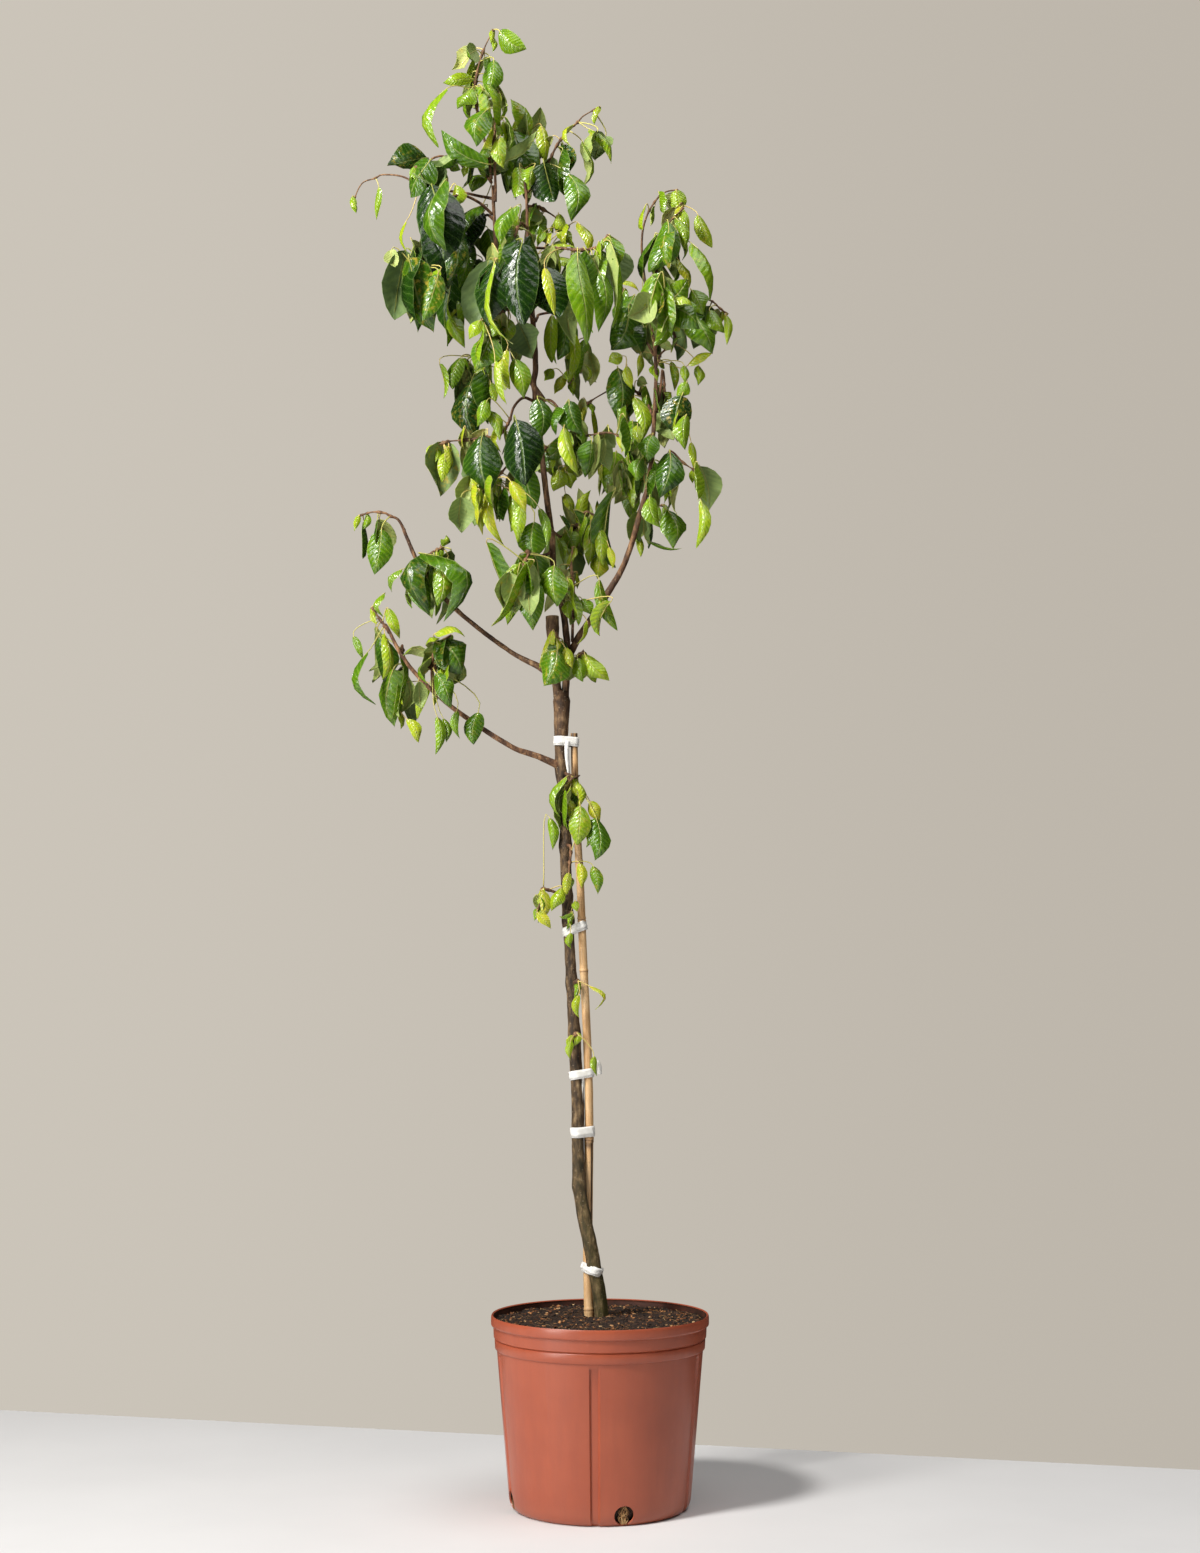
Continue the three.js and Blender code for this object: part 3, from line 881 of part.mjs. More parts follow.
function leafRings(row, root) {
  const { rib, side, breadth } = leafFrame(row);
  const base = rib.getPoint(0);
  const stalk = base.clone().sub(root).normalize();
  const start = rib.getTangent(0);
  const bend = stalk.dot(start) > -0.6 ? stalk.clone().add(start).normalize() : start;
  const slim = { half: STALK_RADIUS, thick: STALK_RADIUS, lift: 0 };
  const blade = BLADE_RINGS.map(([t, share, lift]) => ({
    spot: rib.getPoint(t),
    along: rib.getTangent(t),
    half: (breadth / 2) * share,
    thick: LEAF_THICKNESS / 2,
    lift: (breadth / 2) * share * lift,
  }));
  const rings = [
    { spot: root.clone().addScaledVector(stalk, -0.4), along: stalk, ...slim },
    { spot: base, along: bend, ...slim },
    ...blade,
  ];
  let aside = side;
  for (const ring of rings.slice().reverse()) {
    const carried = aside.clone().projectOnPlane(ring.along);
    aside = carried.length() > 0.3 ? carried.normalize() : aside.clone().cross(start).normalize();
    ring.aside = aside;
  }
  return { rings, tip: rib.getPoint(1), tipWay: rib.getTangent(1), stalk };
}

function leafSolid(row, twigSpots, grow) {
  const base = leafFrame(row).rib.getPoint(0);
  const root = twigSpots.reduce((a, b) => (b.distanceTo(base) < a.distanceTo(base) ? b : a));
  const { rings, tip, tipWay, stalk } = leafRings(row, root);
  const geometry = new THREE.SphereGeometry(1, 4, rings.length + 1);
  const position = geometry.attributes.position;
  for (let i = 0; i < position.count; i += 1) {
    const turn = Math.acos(THREE.MathUtils.clamp(position.getY(i), -1, 1)) / Math.PI;
    const level = Math.round(turn * (rings.length + 1)) - 1;
    const reach = Math.max(Math.hypot(position.getX(i), position.getZ(i)), 1e-6);
    const across = Math.round(position.getX(i) / reach);
    const over = Math.round(position.getZ(i) / reach);
    let spot = tip.clone().addScaledVector(tipWay, grow * 5);
    if (level < 0) {
      spot = rings[0].spot.clone().addScaledVector(stalk, -0.4 - grow);
    } else if (level < rings.length) {
      const ring = rings[level];
      const up = ring.aside.clone().cross(ring.along).normalize();
      const wide = ring.half + grow * 3;
      const lift = Math.abs(across) * ring.lift * (wide / ring.half);
      spot = ring.spot.clone()
        .addScaledVector(ring.aside, across * wide)
        .addScaledVector(up, over * (ring.thick + grow) + lift);
    }
    position.setXYZ(i, spot.x, spot.y, spot.z);
  }
  return outwardSolid(geometry);
}

const twigSteps = (twig) => twig.length;

function twigSolid({ twig }, grow) {
  return rod(pathOf(twig), TWIG_RADII, 4, twigSteps(twig), grow);
}

// Spots along the twig's own straight stretches, where stalks can take root.
function twigSpots({ twig }) {
  const knees = new THREE.CatmullRomCurve3(pathOf(twig)).getSpacedPoints(twigSteps(twig));
  const spots = knees.slice(1).flatMap((knee, i) => (
    [0.1, 0.3, 0.5, 0.7, 0.9].map((t) => knees[i].clone().lerp(knee, t))));
  return spots.slice(spots.length * 0.35);
}

function leavesSolid(shoot, grow) {
  const spots = twigSpots(shoot);
  return unionOf(shoot.leaves.map((row) => leafSolid(row, spots, grow)));
}

function leafColor(leaves) {
  const tone = leaves.reduce((sum, row) => sum + row[8], 0) / leaves.length;
  return new THREE.Color(0x1f3a12).lerp(new THREE.Color(0x9aa82c), tone).getHex();
}

const twigs = {};
for (const [name, shoot] of Object.entries(SHOOTS)) {
  twigs[name] = mainBody(clearOf(twigSolid(shoot, 0), keepOuts));
  keepOuts.push(twigSolid(shoot, CLEARANCE));
}
const firstTwig = keepOuts.length - Object.keys(SHOOTS).length;
Object.entries(SHOOTS).forEach(([name, shoot], index) => {
  const others = keepOuts.filter((keepOut, i) => i !== firstTwig + index);
  const leaves = clearOf(leavesSolid(shoot, 0), others);
  addPart(name, mainBody(twigs[name].add(leaves)), leafColor(shoot.leaves), 0.4);
  keepOuts.push(leavesSolid(shoot, LEAF_CLEARANCE));
});

export default group;
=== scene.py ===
import heapq
import math
import random
from collections import namedtuple

import bmesh
import bpy
from mathutils import Matrix, Vector, noise
from mathutils.geometry import interpolate_bezier


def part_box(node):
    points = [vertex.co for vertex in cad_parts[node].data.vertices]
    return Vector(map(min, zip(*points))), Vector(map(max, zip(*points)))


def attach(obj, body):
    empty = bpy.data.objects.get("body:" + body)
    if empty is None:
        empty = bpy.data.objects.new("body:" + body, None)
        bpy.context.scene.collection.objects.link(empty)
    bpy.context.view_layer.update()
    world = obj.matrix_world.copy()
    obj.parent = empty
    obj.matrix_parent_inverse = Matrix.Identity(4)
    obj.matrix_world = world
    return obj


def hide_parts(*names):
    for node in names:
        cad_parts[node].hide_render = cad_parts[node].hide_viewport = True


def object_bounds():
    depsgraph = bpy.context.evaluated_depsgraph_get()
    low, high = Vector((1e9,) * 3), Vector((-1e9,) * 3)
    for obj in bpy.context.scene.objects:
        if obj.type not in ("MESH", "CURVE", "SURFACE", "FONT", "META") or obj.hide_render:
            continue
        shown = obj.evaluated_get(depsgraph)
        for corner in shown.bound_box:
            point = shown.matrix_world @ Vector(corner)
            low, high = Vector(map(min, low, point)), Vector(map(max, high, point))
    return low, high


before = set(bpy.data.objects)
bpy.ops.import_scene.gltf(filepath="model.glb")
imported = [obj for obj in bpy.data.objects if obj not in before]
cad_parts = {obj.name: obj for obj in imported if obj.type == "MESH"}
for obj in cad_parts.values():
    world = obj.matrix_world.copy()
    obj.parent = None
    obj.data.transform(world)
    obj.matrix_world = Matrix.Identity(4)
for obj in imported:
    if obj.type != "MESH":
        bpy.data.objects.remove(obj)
cad_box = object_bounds()
scene = bpy.context.scene
scene.view_settings.view_transform = "Standard"
MM = 0.001


def noise_of(x, y, z):
    return noise.noise(Vector((x, y, z)))


def verts_of(geometry):
    """The vertices among what a bmesh operator hands back."""
    return [part for part in geometry if isinstance(part, bmesh.types.BMVert)]


# ---- studio: camera, pale floor, warm grey backdrop, soft lights ----
# The floor is a matt white sheet with one slanting back edge; the backdrop is the world.
# A tall softbox stands front left with a small one above it for the crown, a wide one hangs
# overhead, and a weak one fills from the right.
EYE_DISTANCE = 3.0
EYE_HEIGHT = 0.678
EYE_TILT = math.radians(4.9)

eye = bpy.data.cameras.new("eye")
eye.lens = 53.22
eye.sensor_width = 36
eye_stand = bpy.data.objects.new("eye", eye)
eye_stand.location = (0, -EYE_DISTANCE, EYE_HEIGHT)
eye_stand.rotation_euler = (math.pi / 2 + EYE_TILT, 0, 0)
scene.collection.objects.link(eye_stand)
scene.camera = eye_stand


def new_material(name):
    material = bpy.data.materials.new(name)
    material.use_nodes = True
    return material, material.node_tree, material.node_tree.nodes["Principled BSDF"]


def fill_inputs(tree, node, inputs):
    """Links each named input of a node to a socket, or gives it a plain value."""
    for socket, value in inputs.items():
        if isinstance(value, bpy.types.NodeSocket):
            tree.links.new(value, node.inputs[socket])
        else:
            node.inputs[socket].default_value = value


def add_node(tree, kind, inputs=None, **settings):
    made = tree.nodes.new("ShaderNode" + kind)
    for key, value in settings.items():
        setattr(made, key, value)
    fill_inputs(tree, made, inputs or {})
    return made


def object_place(tree, stretch=(1, 1, 1)):
    place_node = add_node(tree, "TexCoord")
    return add_node(tree, "Mapping", {0: place_node.outputs["Object"], 3: stretch}).outputs[0]


def noise_at(tree, place_socket, scale, detail=3.0, rough=0.55):
    made = add_node(tree, "TexNoise", {"Vector": place_socket, "Scale": scale, "Detail": detail,
                                       "Roughness": rough})
    return made.outputs["Fac"]


def calculate(tree, operation, first, second=0.5, clamp=False):
    made = add_node(tree, "Math", {0: first, 1: second}, operation=operation, use_clamp=clamp)
    return made.outputs[0]


def times(tree, first, second):
    return calculate(tree, "MULTIPLY", first, second)


def plus(tree, first, second, clamp=False):
    return calculate(tree, "ADD", first, second, clamp)


def range_of(tree, value, low, high, to_low=0.0, to_high=1.0):
    made = add_node(tree, "MapRange", {"Value": value, 1: low, 2: high, 3: to_low, 4: to_high},
                    interpolation_type="SMOOTHSTEP")
    return made.outputs[0]


def blend_colors(tree, share, first, second, blend_type="MIX"):
    made = add_node(tree, "Mix", {0: share, 6: first, 7: second}, data_type="RGBA",
                    blend_type=blend_type)
    return made.outputs[2]


def color_steps(tree, value, steps):
    made = add_node(tree, "ValToRGB", {0: value})
    ramp = made.color_ramp
    while len(ramp.elements) < len(steps):
        ramp.elements.new(1.0)
    for element, (position, color) in zip(ramp.elements, steps):
        element.position = position
        element.color = (*color, 1)
    return made.outputs[0]


def bump_of(tree, height, distance, strength=1.0):
    made = add_node(tree, "Bump", {"Height": height, "Distance": distance, "Strength": strength})
    return made.outputs[0]


FLOOR_EDGE_LEFT = Vector((-3.2, 1.207, 0))
FLOOR_EDGE_RIGHT = Vector((3.2, -0.370, 0))
FLOOR_FRONT = -3.6
FLOOR_THICKNESS = 0.02

floor_form = bmesh.new()
corners = [FLOOR_EDGE_LEFT, FLOOR_EDGE_RIGHT,
           Vector((FLOOR_EDGE_RIGHT.x, FLOOR_FRONT, 0)), Vector((FLOOR_EDGE_LEFT.x, FLOOR_FRONT, 0))]
top = [floor_form.verts.new(corner) for corner in reversed(corners)]
sheet = floor_form.faces.new(top)
pulled = bmesh.ops.extrude_face_region(floor_form, geom=[sheet], use_keep_orig=True)["geom"]
bmesh.ops.translate(floor_form, vec=(0, 0, -FLOOR_THICKNESS), verts=verts_of(pulled))
bmesh.ops.recalc_face_normals(floor_form, faces=floor_form.faces)
floor_mesh = bpy.data.meshes.new("floor_sheet")
floor_form.to_mesh(floor_mesh)
floor_form.free()
floor_sheet = bpy.data.objects.new("floor_sheet", floor_mesh)
scene.collection.objects.link(floor_sheet)

floor_white, tree, shader = new_material("floor_white")
grain = noise_at(tree, object_place(tree), 4.0)
fill_inputs(tree, shader, {
    "Base Color": color_steps(tree, grain, [(0.3, (0.75, 0.745, 0.75)), (0.7, (0.78, 0.775, 0.78))]),
    "Roughness": 0.85, "Specular IOR Level": 0.2})
floor_mesh.materials.append(floor_white)

backdrop = bpy.data.worlds.new("backdrop")
backdrop.use_nodes = True
scene.world = backdrop
tree = backdrop.node_tree
way = add_node(tree, "SeparateXYZ", {0: add_node(tree, "TexCoord").outputs["Generated"]})
# The backdrop is painted lighter on the left and darker on the right: painted light falling off across
# it.
across = range_of(tree, way.outputs[0], -0.30, 0.30)
wall_color = blend_colors(tree, across, (0.600, 0.556, 0.488, 1), (0.508, 0.466, 0.405, 1))
seen = add_node(tree, "LightPath").outputs["Is Camera Ray"]
strength = range_of(tree, seen, 0, 1, 0.08, 1.0)
fill_inputs(tree, tree.nodes["Background"], {"Color": wall_color, "Strength": strength})


def add_softbox(name, place_at, aim, size, power, color):
    light = bpy.data.lights.new(name, "AREA")
    light.shape = "RECTANGLE"
    light.size, light.size_y = size
    light.energy = power
    light.color = color
    stand = bpy.data.objects.new(name, light)
    stand.location = place_at
    stand.rotation_euler = (Vector(aim) - Vector(place_at)).to_track_quat("-Z", "Y").to_euler()
    scene.collection.objects.link(stand)


add_softbox("key_softbox", (-2.0, -1.8, 1.3), (0, 0, 0.9), (0.55, 2.5), 60, (1.0, 0.98, 0.95))
add_softbox("crown_softbox", (-1.5, -1.5, 2.9), (-0.08, 0, 1.5), (0.45, 0.45), 80, (1.0, 0.98, 0.94))
add_softbox("top_softbox", (1.1, -0.8, 3.8), (0.7, -0.5, 0), (2.6, 2.6), 60, (1.0, 0.99, 0.975))
add_softbox("right_fill", (2.6, -2.0, 1.2), (0, 0, 0.9), (1.6, 1.6), 1.5, (0.95, 0.97, 1.0))


# ---- pot: one thin moulded plastic shell with a stepped collar and a rolled lip ----
# Red-brown plastic, blow-moulded in one piece: five shallow grooves down the wall, a thin
# seam left by the mould, and four round drain holes low in the wall.
pot_low, pot_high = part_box("pot")
RIM_RADIUS = (pot_high.x - pot_low.x) / 2
POT_HEIGHT = pot_high.z
BASE_RADIUS = RIM_RADIUS * 0.79
POT_WALL = 2.2 * MM
FOOT_HEIGHT = 14 * MM               # where the rounded foot meets the straight wall
COLLAR_SHARE, LIP_SHARE = 0.823, 0.945    # of the pot's height
GROOVE_COUNT = 5
GROOVE_START = math.radians(-3)
GROOVE_HALF_TURN = math.radians(2.3)
GROOVE_DEPTH = 2.8 * MM
HOLE_COUNT = 4
HOLE_START = 0.26
HOLE_RADIUS = 12 * MM
HOLE_HEIGHT = 13.6 * MM
SEAM_START = -0.54
POT_STEPS = 360


def wall_radius(height):
    low_wall = BASE_RADIUS + 4.5 * MM
    return low_wall + (RIM_RADIUS * 0.945 - low_wall) * height / (POT_HEIGHT * 0.82)


def pot_outline():
    """Radius and height from the middle of the underside, up the wall to the lip."""
    collar, band, lip = (POT_HEIGHT * share for share in (COLLAR_SHARE, 0.885, LIP_SHARE))
    flat, foot = Vector((BASE_RADIUS - 5 * MM, 0)), Vector((wall_radius(FOOT_HEIGHT), FOOT_HEIGHT))
    knee = Vector((BASE_RADIUS + 4 * MM, 0))
    line = [Vector((0, 0)), Vector((BASE_RADIUS * 0.5, 0)), Vector((BASE_RADIUS * 0.85, 0))]
    line += interpolate_bezier(flat, flat.lerp(knee, 2 / 3), foot.lerp(knee, 2 / 3), foot, 9)
    low_heights = [FOOT_HEIGHT + i * 2 * MM for i in range(1, 8)]
    high_heights = [0.06, 0.1, 0.14, 0.17, POT_HEIGHT * 0.795, POT_HEIGHT * 0.808, collar]
    line += [Vector((wall_radius(height), height)) for height in low_heights + high_heights]
    line += [Vector((RIM_RADIUS * share, height)) for share, height in (
        (0.957, collar + 0.3 * MM), (0.962, collar + 1.4 * MM), (0.966, band - 3.4 * MM),
        (0.963, band - 2.4 * MM), (0.955, band - 1.6 * MM), (0.962, band - 0.7 * MM),
        (0.974, band + 0.3 * MM), (0.977, (band + lip) / 2), (0.978, lip - 0.2 * MM),
        (0.990, lip + 0.1 * MM), (0.998, lip + 1.0 * MM), (1.0, lip + 2.6 * MM),
        (1.0, POT_HEIGHT - 4 * MM), (0.998, POT_HEIGHT - 1.5 * MM), (0.992, POT_HEIGHT))]
    return line


def edges_among(verts):
    chosen = set(verts)
    return list({edge for vert in verts for edge in vert.link_edges
                 if all(end in chosen for end in edge.verts)})


def lathe(outline, steps):
    form = bmesh.new()
    verts = [form.verts.new((0, -spot.x, spot.y)) for spot in outline]
    edges = [form.edges.new(pair) for pair in zip(verts, verts[1:])]
    bmesh.ops.spin(form, geom=verts + edges, cent=(0, 0, 0), axis=(0, 0, 1),
                   angle=2 * math.pi, steps=steps, use_merge=True)
    bmesh.ops.remove_doubles(form, verts=form.verts, dist=1e-6)
    bmesh.ops.recalc_face_normals(form, faces=form.faces)
    return form


def angle_of(spot):
    """Way round the pot from the front, positive to the right."""
    return math.atan2(spot.x, -spot.y)


def angle_gap(first, second):
    return (first - second + math.pi) % (2 * math.pi) - math.pi


def step_between(value, low, high):
    share = min(max((value - low) / (high - low), 0), 1)
    return share * share * (3 - 2 * share)


def press_grooves(form):
    top = POT_HEIGHT * 0.802
    for vert in form.verts:
        if vert.co.z > top + MM or vert.co.xy.length < BASE_RADIUS * 0.9:
            continue
        radius = vert.co.xy.length
        for i in range(GROOVE_COUNT):
            away = abs(angle_gap(angle_of(vert.co), GROOVE_START + i * 2 * math.pi / GROOVE_COUNT))
            if away < GROOVE_HALF_TURN:
                depth = step_between(top - vert.co.z, -0.5 * MM, 1.5 * MM)
                vert.co.xy *= 1 - depth * GROOVE_DEPTH / radius
        seam = abs(angle_gap(angle_of(vert.co), SEAM_START)) * radius
        vert.co.xy *= 1 + step_between(1.6 * MM - seam, 0, 1.6 * MM) * 0.35 * MM / radius


def cut_holes(form):
    """Takes the faces of each drain hole out and draws the hole's edge to a true circle."""
    for i in range(HOLE_COUNT):
        turn = HOLE_START + i * 2 * math.pi / HOLE_COUNT

        def offset(spot):
            return Vector((angle_gap(angle_of(spot), turn) * BASE_RADIUS, spot.z - HOLE_HEIGHT))

        doomed = [face for face in form.faces
                  if offset(face.calc_center_median()).length < HOLE_RADIUS
                  and face.calc_center_median().xy.length > BASE_RADIUS * 0.8]
        rim = {vert for face in doomed for vert in face.verts}
        bmesh.ops.delete(form, geom=doomed, context="FACES")
        for vert in rim:
            if not vert.is_valid:
                continue
            around = offset(vert.co).normalized() * HOLE_RADIUS
            height = max(HOLE_HEIGHT + around.y, 0.9 * MM)
            radius = vert.co.xy.length
            if vert.co.z > FOOT_HEIGHT:
                radius = wall_radius(height)
            way = turn + around.x / BASE_RADIUS
            vert.co = Vector((math.sin(way) * radius, -math.cos(way) * radius, height))


def pot_plastic_material():
    material, tree, shader = new_material("pot_plastic")
    spot = object_place(tree)
    cloud = noise_at(tree, spot, 14.0, 4.0)
    streak = noise_at(tree, object_place(tree, (1, 1, 0.12)), 90.0, 4.0)
    worn = range_of(tree, noise_at(tree, spot, 42.0, 6.0, 0.7), 0.60, 0.78)
    base = color_steps(tree, cloud, [(0.25, (0.34, 0.072, 0.033)), (0.75, (0.41, 0.094, 0.043))])
    base = blend_colors(tree, range_of(tree, streak, 0.35, 0.75, 0.0, 0.35), base,
                        (0.29, 0.066, 0.035, 1))
    base = blend_colors(tree, range_of(tree, worn, 0, 1, 0.0, 0.18), base, (0.50, 0.18, 0.11, 1))
    height = add_node(tree, "SeparateXYZ", {0: add_node(tree, "TexCoord").outputs["Object"]})
    dusty = range_of(tree, height.outputs[2], 0.0, 0.035, 0.16, 0.0)
    base = blend_colors(tree, dusty, base, (0.30, 0.13, 0.08, 1))
    fine = noise_at(tree, spot, 900.0, 3.0)
    pits = plus(tree, times(tree, fine, 0.25), times(tree, cloud, 4.0))
    fill_inputs(tree, shader, {
        "Base Color": base, "Roughness": range_of(tree, streak, 0.3, 0.8, 0.33, 0.38),
        "Normal": bump_of(tree, pits, 0.35 * MM, 0.6), "Specular IOR Level": 0.55})
    return material


def stained_and_shaded_inside_material():
    """The same plastic on the inside, dulled by wet soil and painted far darker as painted shade within
    the pot.
    """
    material, tree, shader = new_material("pot_inside")
    stain = noise_at(tree, object_place(tree, (1, 1, 2.5)), 60.0, 5.0, 0.65)
    # Painted shade inside the pot: the wall is stepped down nearly to black, broken by blotches of soil
    # stain.
    base = color_steps(tree, stain, [(0.35, (0.030, 0.014, 0.009)), (0.6, (0.085, 0.026, 0.014)),
                                     (0.8, (0.16, 0.045, 0.024))])
    fill_inputs(tree, shader, {"Base Color": base, "Normal": bump_of(tree, stain, 0.4 * MM),
                               "Roughness": 0.6})
    return material


def make_piece(name, form, materials, slot, *nodes):
    """Turns a finished form into a piece of the plant that stands for its CAD nodes."""
    mesh = bpy.data.meshes.new(name)
    form.to_mesh(mesh)
    form.free()
    for material in materials:
        mesh.materials.append(material)
    piece = bpy.data.objects.new(name, mesh)
    scene.collection.objects.link(piece)
    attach(piece, "root")
    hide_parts(*nodes)
    return piece


def smooth_faces(form):
    for face in form.faces:
        face.smooth = True


shell = lathe(pot_outline(), POT_STEPS)
press_grooves(shell)
cut_holes(shell)
smooth_faces(shell)
pot_shell = make_piece("pot_shell", shell, [pot_plastic_material(), stained_and_shaded_inside_material()],
                       "pot_plastic", "pot")
wall = pot_shell.modifiers.new("wall", "SOLIDIFY")
wall.thickness = POT_WALL
wall.offset = -1
wall.material_offset = 1
edge_round = pot_shell.modifiers.new("edge_round", "BEVEL")
edge_round.width = 0.5 * MM
edge_round.segments = 2
edge_round.limit_method = "ANGLE"
edge_round.angle_limit = math.radians(50)
edge_round.harden_normals = True


# ---- soil: potting mix of peat and bark, pressed in up to just below the lip ----
# A dark crumbly mass mounded round the stem, with loose bark chips, pale specks and dry
# fibres on top; golden root ends show in the drain holes.
SOIL_TOP = POT_HEIGHT - 6 * MM
SOIL_GAP = 0.5 * MM
SOIL_RINGS = 60
SOIL_STEPS = 168


def soil_height(x, y):
    reach = math.hypot(x, y) / RIM_RADIUS
    mound = 3.2 * MM * (1 - step_between(reach, 0.05, 0.6)) - 3.0 * MM * step_between(reach, 0.75, 1)
    lumps = noise_of(x * 45, y * 45, 3.1) * 2.6 * MM
    crumbs = noise_of(x * 170, y * 170, 7.7) * 2.2 * MM
    grit = noise_of(x * 420, y * 420, 1.3) * 1.1 * MM
    return SOIL_TOP + mound + lumps + crumbs + grit


def soil_outline():
    inside = POT_WALL + SOIL_GAP
    lip = POT_HEIGHT * LIP_SHARE
    top_radius = RIM_RADIUS - inside
    line = [Vector((0, inside)), Vector((BASE_RADIUS - 6 * MM, inside)),
            Vector((wall_radius(FOOT_HEIGHT) - inside - 1.5 * MM, 14.5 * MM)),
            Vector((wall_radius(POT_HEIGHT * 0.8) - inside - 1.6 * MM, POT_HEIGHT * 0.8)),
            Vector((RIM_RADIUS * 0.955 - inside, POT_HEIGHT * 0.895)),
            Vector((RIM_RADIUS * 0.972 - inside, lip)),
            Vector((top_radius, lip + 3 * MM))]
    line += [Vector((top_radius * (1 - i / SOIL_RINGS), SOIL_TOP)) for i in range(SOIL_RINGS + 1)]
    return line


def potting_mix_material():
    material, tree, shader = new_material("potting_mix")
    spot = object_place(tree)
    crumb = noise_at(tree, spot, 260.0, 6.0, 0.7)
    patch = noise_at(tree, spot, 30.0, 3.0)
    fleck = add_node(tree, "TexVoronoi", {"Vector": spot, "Scale": 420.0})
    base = color_steps(tree, crumb, [(0.34, (0.006, 0.004, 0.003)), (0.5, (0.028, 0.016, 0.010)),
                                     (0.62, (0.085, 0.040, 0.020)), (0.78, (0.26, 0.12, 0.05))])
    base = blend_colors(tree, range_of(tree, patch, 0.35, 0.7, 0.0, 0.55), base,
                        (0.014, 0.009, 0.006, 1))
    pale = range_of(tree, fleck.outputs["Distance"], 0.05, 0.13, 0.8, 0.0)
    few = range_of(tree, noise_at(tree, spot, 150.0, 2.0), 0.6, 0.66)
    base = blend_colors(tree, times(tree, pale, few), base, (0.42, 0.27, 0.14, 1))
    fill_inputs(tree, shader, {
        "Base Color": base, "Roughness": range_of(tree, crumb, 0.3, 0.7, 0.95, 0.7),
        "Normal": bump_of(tree, crumb, 1.6 * MM), "Specular IOR Level": 0.35})
    return material


mix = lathe(soil_outline(), SOIL_STEPS)
for vert in mix.verts:
    if vert.co.z > SOIL_TOP - 0.1 * MM:
        vert.co.z = soil_height(vert.co.x, vert.co.y)
smooth_faces(mix)
make_piece("soil_mass", mix, [potting_mix_material()], "potting_mix", "soil")


def random_spot_on_soil(draw):
    reach = (RIM_RADIUS - 6 * MM) * math.sqrt(draw.random())
    turn = draw.uniform(0, 2 * math.pi)
    x, y = math.cos(turn) * reach, math.sin(turn) * reach
    return Vector((x, y, soil_height(x, y)))


def random_turn(draw):
    flat_way = Vector((draw.gauss(0, 1), draw.gauss(0, 1), draw.gauss(0, 0.35))).normalized()
    return flat_way.to_track_quat("X", "Z").to_matrix().to_4x4()


def painted_form():
    """An empty form, and the layer that holds the colours painted on its vertices."""
    form = bmesh.new()
    return form, form.verts.layers.float_color.new("look")


def painted_parts(tree):
    """The red, green and blue of the colour painted on the vertices."""
    painted = add_node(tree, "Attribute", attribute_name="look")
    return add_node(tree, "SeparateColor", {0: painted.outputs["Color"]}).outputs


def bark_chip_material():
    material, tree, shader = new_material("bark_chips")
    part = painted_parts(tree)
    grain = noise_at(tree, object_place(tree), 500.0, 4.0)
    base = color_steps(tree, part[0], [
        (0.0, (0.012, 0.007, 0.005)), (0.40, (0.06, 0.024, 0.010)), (0.65, (0.24, 0.085, 0.028)),
        (0.9, (0.50, 0.22, 0.075)), (1.0, (0.66, 0.44, 0.22))])
    base = blend_colors(tree, range_of(tree, grain, 0.4, 0.7, 0.0, 0.5), base, (0.02, 0.012, 0.008, 1))
    fill_inputs(tree, shader, {"Base Color": base, "Normal": bump_of(tree, grain, 0.5 * MM),
                               "Roughness": 0.8})
    return material


CHIP_COUNT = 1300
chip_draw = random.Random(5)
chips, look = painted_form()
for i in range(CHIP_COUNT):
    spot = random_spot_on_soil(chip_draw)
    long_side = chip_draw.uniform(1.6, 5.5) * MM
    size = (long_side, long_side * chip_draw.uniform(0.3, 0.7), long_side * chip_draw.uniform(0.15, 0.4))
    placed = Matrix.Translation(spot) @ random_turn(chip_draw) @ Matrix.Diagonal((*size, 1))
    verts = bmesh.ops.create_cube(chips, size=1, matrix=placed)["verts"]
    tone = chip_draw.random() ** 1.5
    for vert in verts:
        vert.co += Vector([chip_draw.uniform(-0.14, 0.14) * long_side for k in range(3)])
        vert[look] = (tone, 0, 0, 1)
make_piece("soil_chips", chips, [bark_chip_material()], "potting_mix", "soil")


def smooth_line(points, gap):
    """Evenly spaced points, about a gap apart, on a smooth line through the given ones."""
    line = []
    last = len(points) - 1
    for i in range(last):
        start, end = points[i], points[i + 1]
        before, after = points[max(i - 1, 0)], points[min(i + 2, last)]
        reach = (end - start).length / 3
        first = start + (end - before).normalized() * reach
        second = end - (after - start).normalized() * reach
        line += interpolate_bezier(start, first, second, end, 17)[:-1]
    line.append(points[last])
    return even_line(line, gap)


def even_line(line, gap):
    lengths = [0.0]
    for start, end in zip(line, line[1:]):
        lengths.append(lengths[-1] + (end - start).length)
    count = max(int(lengths[-1] / gap + 0.5), 2)
    even = []
    k = 0
    for i in range(count + 1):
        wanted = lengths[-1] * i / count
        while k < len(line) - 2 and lengths[k + 1] < wanted:
            k += 1
        share = (wanted - lengths[k]) / max(lengths[k + 1] - lengths[k], 1e-9)
        even.append(line[k].lerp(line[k + 1], min(share, 1)))
    return even


def value_along(values, share):
    spot = share * (len(values) - 1)
    low = min(int(spot), len(values) - 2)
    return values[low] + (values[low + 1] - values[low]) * (spot - low)


